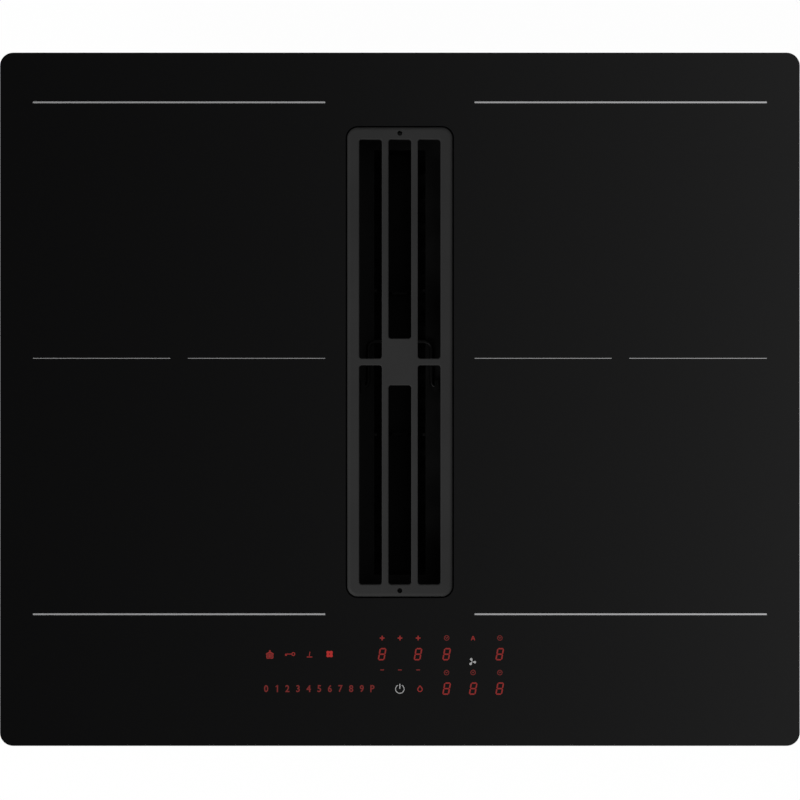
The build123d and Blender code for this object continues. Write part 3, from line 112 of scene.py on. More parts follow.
world = bpy.data.worlds.new("studio")
world.use_nodes = True
bpy.context.scene.world = world
tree = world.node_tree
tree.nodes.clear()
path, seen = background_ray(tree)
toward = put(tree, "ShaderNodeSeparateXYZ", {0: put(tree, "ShaderNodeTexCoord").outputs["Generated"]}).outputs
slant = calc(tree, "MINIMUM", calc(tree, "MAXIMUM", toward["X"], CEILING_LEFT), CEILING_RIGHT)
rise = calc(tree, "EXPONENT", calc(tree, "MULTIPLY", slant, CEILING_RISE))
ceiling = calc(tree, "MULTIPLY", rise, CEILING_TONE)
overhead = ranged(tree, toward["Z"], OVERHEAD_START, OVERHEAD_END, interpolation_type="SMOOTHSTEP")
overhead = calc(tree, "MULTIPLY", overhead, path["Is Glossy Ray"])
shade = put(tree, "ShaderNodeMix", {0: overhead, 2: 1.0, 3: ceiling}).outputs[0]
room = put(tree, "ShaderNodeBackground", {0: (1.0, 1.0, 1.0, 1.0), 1: AMBIENT}).outputs[0]
backdrop = put(tree, "ShaderNodeBackground", {0: shade, 1: 1.0}).outputs[0]
sky = put(tree, "ShaderNodeMixShader", {0: seen, 1: room, 2: backdrop}).outputs[0]
put(tree, "ShaderNodeOutputWorld", {0: sky})

floor_mesh = bpy.data.meshes.new("floor")
half = FLOOR_SIZE / 2
spread = [(-half, -half, 0), (half, -half, 0), (half, half, 0), (-half, half, 0)]
floor_mesh.from_pydata(spread, [], [(0, 1, 2, 3)])
floor = bpy.data.objects.new("floor", floor_mesh)
bpy.context.collection.objects.link(floor)
paper = bpy.data.materials.new("white_paper")
paper.use_nodes = True
tree = paper.node_tree
tree.nodes.clear()
path, seen = background_ray(tree)
lit = put(tree, "ShaderNodeBsdfDiffuse", {0: (FLOOR_WHITE, FLOOR_WHITE, FLOOR_WHITE, 1.0)}).outputs[0]
glow = put(tree, "ShaderNodeEmission", {0: (1.0, 1.0, 1.0, 1.0), 1: 1.0}).outputs[0]
share = calc(tree, "MULTIPLY", seen, FLOOR_GLOW)
surface = put(tree, "ShaderNodeMixShader", {0: share, 1: lit, 2: glow}).outputs[0]
put(tree, "ShaderNodeOutputMaterial", {0: surface})
floor_mesh.materials.append(paper)

# ---------------------------------------------------------------- glass top
# One sheet of 4 mm black glass-ceramic, 600 x 520 mm, with round corners and a long vent opening cut
# in it. Both edges are ground to a soft round and left matt; the face is polished.
GLASS_W, GLASS_D, GLASS_R, GLASS_T = 600.0 * mm, 520.0 * mm, 10.0 * mm, 4.0 * mm
VENT_W, VENT_L, VENT_R, VENT_Y = 81.0 * mm, 354.0 * mm, 9.0 * mm, 28.0 * mm
GROUND_IN, GROUND_DOWN = 0.25 * mm, 0.4 * mm


def rounded(width, length, radius, x=0.0, y=0.0, steps=10):
    """A rectangle with round corners, anticlockwise: in each quarter, corner + radius * (cos a, sin a)."""
    angle = (np.arange(4)[:, None] + np.linspace(0, 1, steps + 1)) * pi / 2
    side_x, side_y = np.array([[1, -1, -1, 1], [1, 1, -1, -1]])[:, :, None]
    across = x + side_x * (width / 2 - radius) + radius * np.cos(angle)
    along = y + side_y * (length / 2 - radius) + radius * np.sin(angle)
    return np.column_stack([across.ravel(), along.ravel()])


def raised(loop, z):
    """A flat loop lifted to height z."""
    return np.column_stack([loop, np.full(len(loop), z)])


def band(rings, finish=0, closed=True):
    """Quads between successive rings: (i, j), (i, j + 1), (i + 1, j + 1), (i + 1, j); j wraps if closed."""
    rings = np.asarray(rings)
    count, around = rings.shape[:2]
    i, j = np.meshgrid(np.arange(count - 1), np.arange(around if closed else around - 1), indexing="ij")
    after = (j + 1) % around
    quads = np.stack([i * around + j, i * around + after, (i + 1) * around + after, (i + 1) * around + j], -1)
    return rings.reshape(-1, 3), quads.reshape(-1, 4).tolist(), finish, True


def flat(loops, z, finish=0):
    """The area inside the first loop and outside the others at height z, as triangles."""
    triangles = tessellate_polygon([[Vector((x, y, 0)) for x, y in loop] for loop in loops])
    return raised(np.vstack(loops), z), [list(t) for t in triangles], finish, False


def assemble(name, sheets, finishes, smooth=35, merge=0.001 * mm):
    """One closed mesh from several surfaces, each its points, faces, finish and whether it is shaded smooth:
    shared points are merged, faces turned outwards, and edges over an angle are sharp."""
    points = np.vstack([sheet[0] for sheet in sheets])
    starts = np.cumsum([0] + [len(sheet[0]) for sheet in sheets])
    faces = [[start + k for k in face] for start, sheet in zip(starts, sheets) for face in sheet[1]]
    mesh = bpy.data.meshes.new(name)
    mesh.from_pydata(points, [], faces)
    counts = [len(sheet[1]) for sheet in sheets]
    mesh.polygons.foreach_set("material_index", np.repeat([sheet[2] for sheet in sheets], counts))
    mesh.polygons.foreach_set("use_smooth", np.repeat([sheet[3] for sheet in sheets], counts))
    shape = bmesh.new()
    shape.from_mesh(mesh)
    bmesh.ops.remove_doubles(shape, verts=shape.verts, dist=merge)
    bmesh.ops.recalc_face_normals(shape, faces=shape.faces)
    shape.to_mesh(mesh)
    shape.free()
    flags = np.empty(len(mesh.polygons), bool)
    mesh.polygons.foreach_get("use_smooth", flags)
    mesh.set_sharp_from_angle(angle=radians(smooth))
    mesh.polygons.foreach_set("use_smooth", flags)
    for finish in finishes:
        mesh.materials.append(finish)
    piece = bpy.data.objects.new(name, mesh)
    bpy.context.collection.objects.link(piece)
    piece.modifiers.new("even_light", "WEIGHTED_NORMAL").keep_sharp = True
    return piece


def new_finish(name, colour, roughness, metallic=0.0, **constants):
    """A material with one Principled shader; constants are other fixed values, spaces written as _."""
    finish = bpy.data.materials.new(name)
    finish.use_nodes = True
    shader = finish.node_tree.nodes["Principled BSDF"]
    shader.inputs["Base Color"].default_value = (*colour, 1.0)
    shader.inputs["Roughness"].default_value = roughness
    shader.inputs["Metallic"].default_value = metallic
    for label, value in constants.items():
        shader.inputs[label.replace("_", " ")].default_value = value
    return finish, finish.node_tree, shader


def open_group(name, inputs, outputs):
    """An empty shader group with number inputs, each with its first value, and named outputs."""
    group = bpy.data.node_groups.new(name, "ShaderNodeTree")
    for label, value in inputs.items():
        socket = group.interface.new_socket(label, in_out="INPUT", socket_type="NodeSocketFloat")
        socket.default_value = value
    for label in outputs:
        group.interface.new_socket(label, in_out="OUTPUT", socket_type="NodeSocketFloat")
    return group, group.nodes.new("NodeGroupInput").outputs, group.nodes.new("NodeGroupOutput").inputs


def own_place(tree):
    """Each point's place in the piece's own coordinates."""
    return put(tree, "ShaderNodeTexCoord").outputs["Object"]


def place_noise(tree, scale, detail=2.0, stretch=None):
    """Noise on the piece's own coordinates, stretched by three factors where a grain has a direction."""
    where = own_place(tree)
    if stretch is not None:
        where = put(tree, "ShaderNodeMapping", {"Vector": where, "Scale": stretch}).outputs[0]
    return put(tree, "ShaderNodeTexNoise", {"Vector": where, "Scale": scale, "Detail": detail}).outputs[0]


# Handling: soft patches some centimetres wide, where a surface is a little duller and paler.
PATCH_START, PATCH_END = 0.35, 0.65
inputs = {"Size": 40 * mm, "Low": 0.3, "High": 0.4}
handling, given, result = open_group("handling", inputs, ["Value", "Patch"])
noise = place_noise(handling, calc(handling, "DIVIDE", 1.0, given["Size"]), 3.0)
patch = ranged(handling, noise, PATCH_START, PATCH_END)
handling.links.new(patch, result["Patch"])
handling.links.new(ranged(handling, patch, low=given["Low"], high=given["High"]), result["Value"])


def handled(tree, shader, size, low, high):
    """Lays handling patches of a size in millimetres over the roughness, and returns their mask."""
    group = put(tree, "ShaderNodeGroup", {"Size": size * mm, "Low": low, "High": high}, node_tree=handling)
    tree.links.new(group.outputs["Value"], shader.inputs["Roughness"])
    return group.outputs["Patch"]


def bumped(tree, shader, height, strength, depth, **under):
    """Turns a height into a bump, its depth in millimetres, over another normal where one is given."""
    feeds = {"Strength": strength, "Distance": depth * mm, "Height": height, **under}
    normal = put(tree, "ShaderNodeBump", feeds).outputs[0]
    tree.links.new(normal, shader.inputs["Normal"])
    return normal


black_glass, tree, shader = new_finish("black_glass", (0.0013, 0.0013, 0.0014), 0.03, IOR=1.52)
handled(tree, shader, 90, 0.02, 0.045)
ground_glass, tree, shader = new_finish("ground_glass", (0.006, 0.006, 0.0065), 0.5, Specular_IOR_Level=0.02)
bumped(tree, shader, place_noise(tree, 4000.0), 0.3, 0.02)

ease = np.linspace(0, pi / 2, 5)
edge_in = np.concatenate([GROUND_IN * (1 - np.sin(ease)), GROUND_IN * (1 - np.cos(ease))])
edge_z = np.concatenate(
    [GLASS_FACE - GROUND_DOWN * (1 - np.cos(ease)), GLASS_FACE - GLASS_T + GROUND_DOWN * (1 - np.sin(ease))]
)
outer = [rounded(GLASS_W - 2 * d, GLASS_D - 2 * d, GLASS_R - d) for d in edge_in]
inner = [rounded(VENT_W + 2 * d, VENT_L + 2 * d, VENT_R + d, 0, VENT_Y) for d in edge_in]
sheets = [band([raised(loop, z) for loop, z in zip(loops, edge_z)], 1) for loops in (outer, inner)]
sheets += [flat([outer[0], inner[0]], GLASS_FACE), flat([outer[-1], inner[-1]], GLASS_FACE - GLASS_T)]
glass = assemble("glass_sheet", sheets, [black_glass, ground_glass])
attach(glass, "chassis")
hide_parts("glass_top")

# ---------------------------------------------------------------- zone lines
# Fine grey lines baked onto the face of the glass: a heavy one in front of and behind each pair of
# cooking zones and a thin broken one between them. The ink stands a few hundredths proud.
LINE_IN, LINE_OUT, LINE_GAP_X, LINE_GAP = 56.0 * mm, 275.2 * mm, 165.5 * mm, 13.2 * mm
HEAVY_YS, HEAVY_W = (222.68 * mm, -161.24 * mm), 1.25 * mm
THIN_Y, THIN_W = 30.7 * mm, 0.42 * mm
INK_T, INK_SINK = 0.03 * mm, 0.01 * mm


def sleeve(loop, low, high, finish=0):
    """The upright wall along one loop between two levels."""
    return band([raised(loop, low), raised(loop, high)], finish)


def ink(name, shapes, finish, unit=1.0):
    """Flat ink marks on the glass: each shape is an outline and its holes, closed below and above and round
    each loop. A unit turns shapes drawn in it into metres."""
    low, high = GLASS_FACE - INK_SINK, GLASS_FACE + INK_T
    sheets = []
    for loops in shapes:
        loops = [np.asarray(loop) * unit for loop in loops]
        sheets += [flat(loops, low), flat(loops, high)] + [sleeve(loop, low, high) for loop in loops]
    return assemble(name, sheets, [finish], merge=0.0001 * mm)


def roughened(tree, shader, mask, low, high, start=0.0, end=1.0):
    """Roughness from low to high, as a mask goes from start to end."""
    tree.links.new(ranged(tree, mask, start, end, low, high), shader.inputs["Roughness"])


grey_print, tree, shader = new_finish("grey_print", (0.98, 0.98, 0.99), 0.06, 0.8)
roughened(tree, shader, place_noise(tree, 2500.0), 0.04, 0.09)
lines = []
for side in (-1, 1):
    middle, width = side * (LINE_IN + LINE_OUT) / 2, LINE_OUT - LINE_IN
    lines += [[rounded(width, HEAVY_W, 0.3 * mm, middle, y, 4)] for y in HEAVY_YS]
    for start, end in ((LINE_IN, LINE_GAP_X - LINE_GAP / 2), (LINE_GAP_X + LINE_GAP / 2, LINE_OUT)):
        lines += [[rounded(end - start, THIN_W, 0.2 * mm, side * (start + end) / 2, THIN_Y, 4)]]
zone_lines = ink("zone_lines", lines, grey_print)
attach(zone_lines, "chassis")

# ---------------------------------------------------------------- touch keys and displays
# Key symbols and the slider's digits are printed in translucent red and lit from under the glass;
# the seven-segment figures are displays that shine through it. The power key and fan are pale grey.
# They are drawn in millimetres and turned into metres when the ink is laid.
PLUS_XS, PLUS_Y, MINUS_Y = (-13.3, 0.1, 13.7), -179.1, -203.0
CLOCK_SPOTS = ((35.1, -179.0), (75.0, -179.0), (35.0, -205.0), (54.9, -204.9), (75.0, -205.0))
FIGURE_SPOTS = ((-13.3, -191.2), (13.6, -191.2), (35.1, -191.2), (74.9, -191.2))
FIGURE_SPOTS += ((35.1, -217.0), (55.0, -217.0), (74.9, -217.0))
LETTER_SPOT, POT_SPOT, FLOWER_SPOT = (54.9, -179.2), (-97.5, -191.4), (-52.7, -191.1)
POWER_SPOT, FAN_SPOT = (0.0, -217.3), (54.3, -196.9)
LOCK_X, LOCK_Y, PAUSE_X, PAUSE_Y, DROP_X, DROP_Y = -79.9, -191.1, -67.7, -191.2, 15.1, -214.4
FIGURE_W, FIGURE_H, SEGMENT_W, SEGMENT_GAP, FIGURE_SLANT = 5.2, 9.3, 1.02, 0.1, tan(radians(10))
SLIDER, SLIDER_X, SLIDER_PITCH, SLIDER_Y, DIGIT_H = "0123456789P", -100.3, 7.97, -217.0, 5.3
FLAG_SHIFT = 0.5


def moved(loop, x=0.0, y=0.0, turn=0.0):
    """A flat loop turned about its origin and then moved."""
    loop = np.asarray(loop, float)
    c, s = cos(turn), sin(turn)
    return np.column_stack([x + loop[:, 0] * c - loop[:, 1] * s, y + loop[:, 0] * s + loop[:, 1] * c])


def arc(radius, start=0.0, end=360.0, steps=24, closed=True):
    """Points radius * (cos a, sin a) from one angle to another; a closed one leaves its last point out."""
    angle = np.radians(np.linspace(start, end, steps + 1)[: steps if closed else None])
    return radius * np.column_stack([np.cos(angle), np.sin(angle)])


def stroke(path, width, steps=6):
    """A pen stroke's outline: half a width to each side of the path, and a half circle round each end."""
    path = np.asarray(path, float)
    along = np.gradient(path, axis=0)
    along /= np.linalg.norm(along, axis=1)[:, None]
    side = np.column_stack([-along[:, 1], along[:, 0]]) * width / 2
    fan = np.linspace(pi / 2, -pi / 2, steps + 1)[1:-1]
    caps = []
    for point, heading in ((path[-1], along[-1]), (path[0], -along[0])):
        angle = atan2(heading[1], heading[0]) + fan
        caps.append(point + width / 2 * np.column_stack([np.cos(angle), np.sin(angle)]))
    return np.vstack([path + side, caps[0], (path - side)[::-1], caps[1]])


def teardrop(length, radius, steps=18):
    """A round end of one radius at (length - radius, 0), drawn in by straight sides to a point at (0, 0)."""
    reach = length - radius
    lean = np.arccos(radius / reach)
    angle = np.linspace(-(pi - lean), pi - lean, steps + 1)
    end = np.column_stack([reach + radius * np.cos(angle), radius * np.sin(angle)])
    return np.vstack([[(0.0, 0.0)], end])


def cross(size, width):
    """A plus sign's twelve corners."""
    a, b = size / 2, width / 2
    quarter = np.array([(a, -b), (a, b), (b, b)])
    return np.vstack([moved(quarter, turn=k * pi / 2) for k in range(4)])


def figure_eight():
    """The seven segments of one figure: six-sided bars along its frame, leaning to the right."""
    half_w, half_h = (FIGURE_W - SEGMENT_W) / 2, (FIGURE_H - SEGMENT_W) / 2
    bars = []
    for length, turn, spots in (
        (half_w, 0.0, [(0, -half_h), (0, 0), (0, half_h)]),
        (half_h / 2, pi / 2, [(x, y) for x in (-half_w, half_w) for y in (-half_h / 2, half_h / 2)]),
    ):
        tip, flank, wide = length - SEGMENT_GAP, length - SEGMENT_GAP - SEGMENT_W / 2, SEGMENT_W / 2
        bar = [(-tip, 0), (-flank, -wide), (flank, -wide), (tip, 0), (flank, wide), (-flank, wide)]
        bars += [moved(moved(bar, turn=turn), *spot) for spot in spots]
    return [np.column_stack([bar[:, 0] + FIGURE_SLANT * bar[:, 1], bar[:, 1]]) for bar in bars]


bright, lit, faint = [], [], []
for x in PLUS_XS:
    lit.append([moved(cross(3.5, 0.95), x, PLUS_Y)])
    faint.append([moved(rounded(2.8, 0.75, 0.25, steps=3), x, MINUS_Y)])
hands = stroke([(-0.8, 0.6), (-0.4, 0.05), (0.0, -0.5), (0.4, 0.05), (0.8, 0.6)], 0.5)
for x, y in CLOCK_SPOTS:
    faint.append([moved(arc(radius), x, y) for radius in (2.0, 1.5)])
    faint.append([moved(hands, x, y)])
for x, y in FIGURE_SPOTS:
    lit += [[moved(bar, x, y)] for bar in figure_eight()]
# the letter A for automatic extraction
letter = [(-1.65, -1.6), (-0.5, 1.6), (0.5, 1.6), (1.65, -1.6)]
letter += [(0.85, -1.6), (0.6, -0.8), (-0.6, -0.8), (-0.85, -1.6)]
lit.append([moved(loop, *LETTER_SPOT) for loop in (letter, [(-0.4, -0.2), (0.4, -0.2), (0.0, 0.9)])])
# a covered pot on a flame
pot = [(-3.1, 0.5), (-1.4, 1.6), (-0.55, 2.0), (-0.6, 3.1), (0.6, 3.1), (0.55, 2.0), (1.4, 1.6), (3.1, 0.5)]
pot += [(2.6, -0.2), (2.7, -2.5), (2.0, -3.2), (-2.0, -3.2), (-2.7, -2.5), (-2.6, -0.2)]
room_in = [(-2.1, 0.3), (0.0, 1.4), (2.1, 0.3), (2.0, -2.2), (1.5, -2.6), (-1.5, -2.6), (-2.0, -2.2)]
flame = stroke([(0, -2.0), (0, -0.9), (0, 0.1)], 1.0)
lit.append([moved(loop, *POT_SPOT) for loop in (pot, room_in)])
lit.append([moved(flame, *POT_SPOT)])
faint.append([moved(loop, *POT_SPOT) for loop in (0.94 * np.array(room_in), 1.25 * flame)])
# the key of the child lock
lit.append([moved(arc(radius), LOCK_X, LOCK_Y) for radius in (1.45, 0.75)])
lit.append([moved(rounded(4.4, 0.65, 0.2, steps=3), LOCK_X - 3.6, LOCK_Y)])
lit.append([moved(rounded(1.4, 1.5, 0.3, steps=3), LOCK_X - 5.5, LOCK_Y - 0.6)])
# the pause key: a base line under a leaning stroke, and the keep-warm flower
lit.append([moved(rounded(4.2, 0.75, 0.3, steps=3), PAUSE_X, PAUSE_Y - 2.1)])
lit.append([moved(stroke([(-0.2, -1.2), (0.0, 0.2), (0.25, 1.6)], 0.6), PAUSE_X, PAUSE_Y)])
turn = np.radians(np.arange(48) * 7.5)
petals = (2.55 - 0.45 * np.cos(4 * turn))[:, None] * np.column_stack([np.cos(turn), np.sin(turn)])
bright.append([moved(loop, *FLOWER_SPOT) for loop in (petals, arc(0.45, steps=12))])
# the flag of the slider's 1, which the type lacks
flag = stroke([(-0.35, 2.2), (-0.75, 1.85), (-1.15, 1.5)], 0.6)
faint.append([moved(flag, SLIDER_X + SLIDER_PITCH + FLAG_SHIFT, SLIDER_Y)])
# the drop that shows the tray and filter
drops = ((5.2, 2.05, 0.0), (3.5, 1.25, -1.0))
lit.append([moved(teardrop(length, radius), DROP_X, DROP_Y + y, -pi / 2) for length, radius, y in drops])


def two_toned(tree, mask, first, second):
    """One colour where a mask is 0 and another where it is 1."""
    feeds = {0: mask, 6: (*first, 1.0), 7: (*second, 1.0)}
    return put(tree, "ShaderNodeMix", feeds, data_type="RGBA").outputs[2]


def lit_red(name, red, other):
    """Translucent red print over a lamp, which glows a little unevenly."""
    finish, tree, shader = new_finish(name, (0.07, 0.003, 0.002), 0.3)
    shader.inputs["Emission Strength"].default_value = 1.0
    dim, full = (0.8 * red, 0.8 * other, 0.75 * other), (1.1 * red, 1.1 * other, other)
    tree.links.new(two_toned(tree, place_noise(tree, 600.0), dim, full), shader.inputs["Emission Color"])
    return finish


bright_red = lit_red("bright_red", 0.3, 0.012)
red_print = lit_red("red_print", 0.15, 0.01)
faint_red = lit_red("faint_red", 0.07, 0.007)
for label, shapes, finish in (
    ("keep_warm_key", bright, bright_red),
    ("lit_symbols", lit, red_print),
    ("faint_symbols", faint, faint_red),
):
    marks = ink(label, shapes, finish, mm)
    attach(marks, "chassis")

digits = []
for place, letter in enumerate(SLIDER):
    type_curve = bpy.data.curves.new("digit", "FONT")
    type_curve.body, type_curve.extrude = letter, 0.5
    type_curve.offset, type_curve.resolution_u = 0.022, 4
    maker = bpy.data.objects.new("digit", type_curve)
    shape = bpy.data.meshes.new_from_object(maker)
    points = np.empty(len(shape.vertices) * 3)
    shape.vertices.foreach_get("co", points)
    points = points.reshape(-1, 3)
    low, high = points.min(0), points.max(0)
    scale = DIGIT_H * mm / (high[1] - low[1])
    centre = (SLIDER_X + place * SLIDER_PITCH + (FLAG_SHIFT if letter == "1" else 0)) * mm, SLIDER_Y * mm
    points[:, :2] = (points[:, :2] - (low + high)[:2] / 2) * (scale * 0.92, scale) + centre
    points[:, 2] = np.where(points[:, 2] > 0, GLASS_FACE + INK_T, GLASS_FACE - INK_SINK)
    digits.append((points, [list(face.vertices) for face in shape.polygons], 0, False))
    bpy.data.objects.remove(maker)
slider = assemble("slider_digits", digits, [faint_red], merge=0.0001 * mm)
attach(slider, "chassis")

pale_print, tree, shader = new_finish("pale_print", (0.3, 0.3, 0.3), 0.35)
roughened(tree, shader, place_noise(tree, 900.0), 0.3, 0.4)
pale = [[moved(stroke(arc(3.2, 122, 418, 40, False), 0.58), *POWER_SPOT)]]
pale.append([moved(stroke([(0, 0.4), (0, 2.0), (0, 3.6)], 0.75), *POWER_SPOT)])
pale += [[moved(teardrop(2.95, 0.95), *FAN_SPOT, radians(angle))] for angle in (112, -8, 232)]
pale_marks = ink("power_and_fan_symbols", pale, pale_print, mm)
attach(pale_marks, "chassis")

# ---------------------------------------------------------------- grille
# A flat grating of cast iron under dark matt enamel, 11 mm deep, that lies flush in the vent. It has
# three rows of slots, a plain bridge in the middle and a small round hole at each end to lift it by.
GRILLE_W, GRILLE_L, GRILLE_R, GRILLE_LOW, GRILLE_T = 79.0 * mm, 352.0 * mm, 8.0 * mm, 200.0 * mm, 11.0 * mm
SLOT_W, SLOT_R, BAR_W, END_BAR, WEB, BRIDGE = 17.0 * mm, 2.0 * mm, 5.0 * mm, 9.0 * mm, 5.0 * mm, 35.0 * mm
HOLE_R, HOLE_IN, HOLE_EASE = 1.8 * mm, 4.5 * mm, 0.25
SHOULDER_IN, SHOULDER_DOWN, RIM_EASE, FOOT_EASE = 2.5 * mm, 2.4 * mm, 0.7 * mm, 0.8 * mm

grille_top = GRILLE_LOW + GRILLE_T
ease = np.linspace(0, pi / 2, 9)
sides = [(FOOT_EASE, GRILLE_LOW), (0.0, GRILLE_LOW + FOOT_EASE)]
sides += [(SHOULDER_IN * (1 - cos(t)), grille_top - SHOULDER_DOWN * (1 - sin(t))) for t in ease]
outline = [rounded(GRILLE_W - 2 * d, GRILLE_L - 2 * d, GRILLE_R - d, 0, VENT_Y, 14) for d, z in sides]
sheets = [band([raised(loop, z) for loop, (d, z) in zip(outline, sides)])]
ease = np.linspace(0, pi / 2, 5)
walls = [(FOOT_EASE, GRILLE_LOW), (0.0, GRILLE_LOW + FOOT_EASE)]
walls += [(RIM_EASE * (1 - cos(t)), grille_top - RIM_EASE * (1 - sin(t))) for t in ease]
openings = []
for column, web in ((-1, WEB), (0, BRIDGE), (1, WEB)):
    length = (GRILLE_L - 2 * END_BAR - web) / 2
    for end in (-1, 1):
        centre = column * (SLOT_W + BAR_W), VENT_Y + end * (web + length) / 2
        openings.append([rounded(SLOT_W + 2 * d, length + 2 * d, SLOT_R + d, *centre, 6) for d, z in walls])
for end in (-1, 1):
    centre = 0.0, VENT_Y + end * (GRILLE_L / 2 - HOLE_IN)
    openings.append([moved(arc(HOLE_R + HOLE_EASE * d), *centre) for d, z in walls])
sheets += [band([raised(loop, z) for loop, (d, z) in zip(loops, walls)]) for loops in openings]
sheets += [flat([outline[-1]] + [loops[-1] for loops in openings], grille_top)]
sheets += [flat([outline[0]] + [loops[0] for loops in openings], GRILLE_LOW)]


def coloured(tree, shader, mask, first, second):
    """Base colour from one tone to another by a mask."""
    tree.links.new(two_toned(tree, mask, first, second), shader.inputs["Base Color"])


grille_iron, tree, shader = new_finish("grille_iron", (0.0218, 0.0218, 0.0218), 0.55, Specular_IOR_Level=0.07)
skin = bumped(tree, shader, place_noise(tree, 1800.0, 4.0), 0.35, 0.05)
bumped(tree, shader, place_noise(tree, 120.0, 2.0), 0.2, 0.15, Normal=skin)
enamel = handled(tree, shader, 60, 0.52, 0.64)
coloured(tree, shader, enamel, (0.0206, 0.0206, 0.0206), (0.023, 0.023, 0.023))
grating = assemble("grille_grating", sheets, [grille_iron])
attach(grating, "grille")
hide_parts("grille")

# ---------------------------------------------------------------- inlet frame
# A moulded collar clamped under the glass round the vent: a flange above, a ledge that carries the
# grille on rubber pads, a straight throat, and at its foot a second ledge for the grease filter.
# From here on sizes are drawn in millimetres and turned into metres when a piece is assembled.
VENT, VENT_MID = (81.0, 354.0, 9.0), 28.0
FLANGE_OUT, COLLAR_OUT, THROAT_IN, SKIRT_IN, FILTER_LEDGE_IN = 14.0, 2.0, 5.0, 3.0, 10.0
FLANGE_TOP, FLANGE_LOW, GRILLE_SEAT, LEDGE_LOW = 205.0, 202.5, 198.0, 195.5
FILTER_SEAT, FILTER_LEDGE_LOW, SKIRT_LOW = 150.0, 147.5, 143.0


def eased(rows, ease, closed=True, steps=3):
    """A profile with its corners rounded: from `ease` before a corner to `ease` after it, its points are
    (1 - t)^2 * before + 2 t (1 - t) * corner + t^2 * after. An open profile keeps its two ends."""
    rows = np.asarray(rows, float)
    ways = [np.roll(rows, shift, 0) - rows for shift in (1, -1)]
    sizes = [np.maximum(np.linalg.norm(way, axis=1), 1e-9)[:, None] for way in ways]
    before, after = [rows + np.minimum(ease, 0.45 * size) * way / size for way, size in zip(ways, sizes)]
    t = np.linspace(0, 1, steps + 1)[:, None, None]
    points = ((1 - t) ** 2 * before + 2 * t * (1 - t) * rows + t**2 * after).transpose(1, 0, 2)
    if closed:
        return points.reshape(-1, rows.shape[1])
    return np.vstack([rows[:1], points[1:-1].reshape(-1, rows.shape[1]), rows[-1:]])


def hoop(outline, profile, x=0.0, y=0.0, ease=0.0, closed=True, steps=8, finish=0):
    """A profile of (distance in, height) carried round a rectangle with round corners. A closed one meets
    itself; the two ends of an open one are shut by flat faces."""
    width, length, radius = outline
    rows = eased(profile, ease, closed) if ease else np.asarray(profile, float)
    rows = np.vstack([rows, rows[:1]]) if closed else rows
    loops = [rounded(width - 2 * d, length - 2 * d, max(radius - d, 0.3), x, y, steps) for d, z in rows]
    sheets = [band([raised(loop, z) for loop, (d, z) in zip(loops, rows)], finish)]
    return sheets if closed else sheets + [flat([loops[k]], rows[k][1], finish) for k in (0, -1)]


def moulded(name, sheets, finishes, body, slot, *nodes, smooth=35):
    """Assembles a piece drawn in millimetres, rides it on its body and hides the CAD nodes it stands for."""
    sheets = [(points * mm, *rest) for points, *rest in sheets]
    piece = assemble(name, sheets, finishes, smooth)
    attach(piece, body)
    if nodes:
        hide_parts(*nodes)
    return piece


# Spark grain: the fine matt texture of a mould that was cut by sparks, pits about a fifth of a
# millimetre wide over a slow swell.
spark_grain, given, result = open_group("spark_grain", {"Pit": 0.2 * mm}, ["Height"])
pits = place_noise(spark_grain, calc(spark_grain, "DIVIDE", 1.0, given["Pit"]), 3.0)
height = calc(spark_grain, "MULTIPLY_ADD", place_noise(spark_grain, 18.0, 1.0), 0.4, pits)
spark_grain.links.new(height, result["Height"])


def plastic(name, dark, light, low, high, pit=0.2, strength=0.12):
    """A moulded plastic: spark grain in the bump, and two tones and two roughnesses in soft patches."""
    finish, tree, shader = new_finish(name, light, low)
    grain = put(tree, "ShaderNodeGroup", {"Pit": pit * mm}, node_tree=spark_grain).outputs["Height"]
    bumped(tree, shader, grain, strength, 0.05)
    coloured(tree, shader, handled(tree, shader, 55, low, high), dark, light)
    return finish


black_plastic = plastic("black_plastic", (0.013, 0.013, 0.014), (0.019, 0.019, 0.02), 0.4, 0.52)
profile = [(-FLANGE_OUT, FLANGE_TOP), (-FLANGE_OUT, FLANGE_LOW), (-COLLAR_OUT, FLANGE_LOW)]
profile += [(-COLLAR_OUT, LEDGE_LOW), (SKIRT_IN, LEDGE_LOW), (SKIRT_IN, SKIRT_LOW)]
profile += [(THROAT_IN, SKIRT_LOW), (THROAT_IN, FILTER_LEDGE_LOW), (FILTER_LEDGE_IN, FILTER_LEDGE_LOW)]
profile += [(FILTER_LEDGE_IN, FILTER_SEAT), (THROAT_IN, FILTER_SEAT), (THROAT_IN, GRILLE_SEAT)]
profile += [(0.0, GRILLE_SEAT), (0.0, FLANGE_TOP)]
collar = hoop(VENT, profile, 0, VENT_MID, ease=0.7)
moulded("inlet_collar", collar, [black_plastic], "chassis", "black_plastic", "inlet_frame")

# ---------------------------------------------------------------- foam seals and rubber pads
# Closed-cell foam strip stuck under the rim of the glass, which lies on the worktop, a thin foam ring
# between the glass and the collar, and four silicone pads that keep the grille off its ledge.
SEAL, SEAL_BAND, SEAL_LOW, SEAL_HIGH = (594.0, 514.0, 3.0), 10.0, 204.0, 206.0


def dress(finish, *nodes):
    """Puts a finish on CAD nodes that keep their shape."""
    for node in nodes:
        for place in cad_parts[node].material_slots:
            place.material = finish


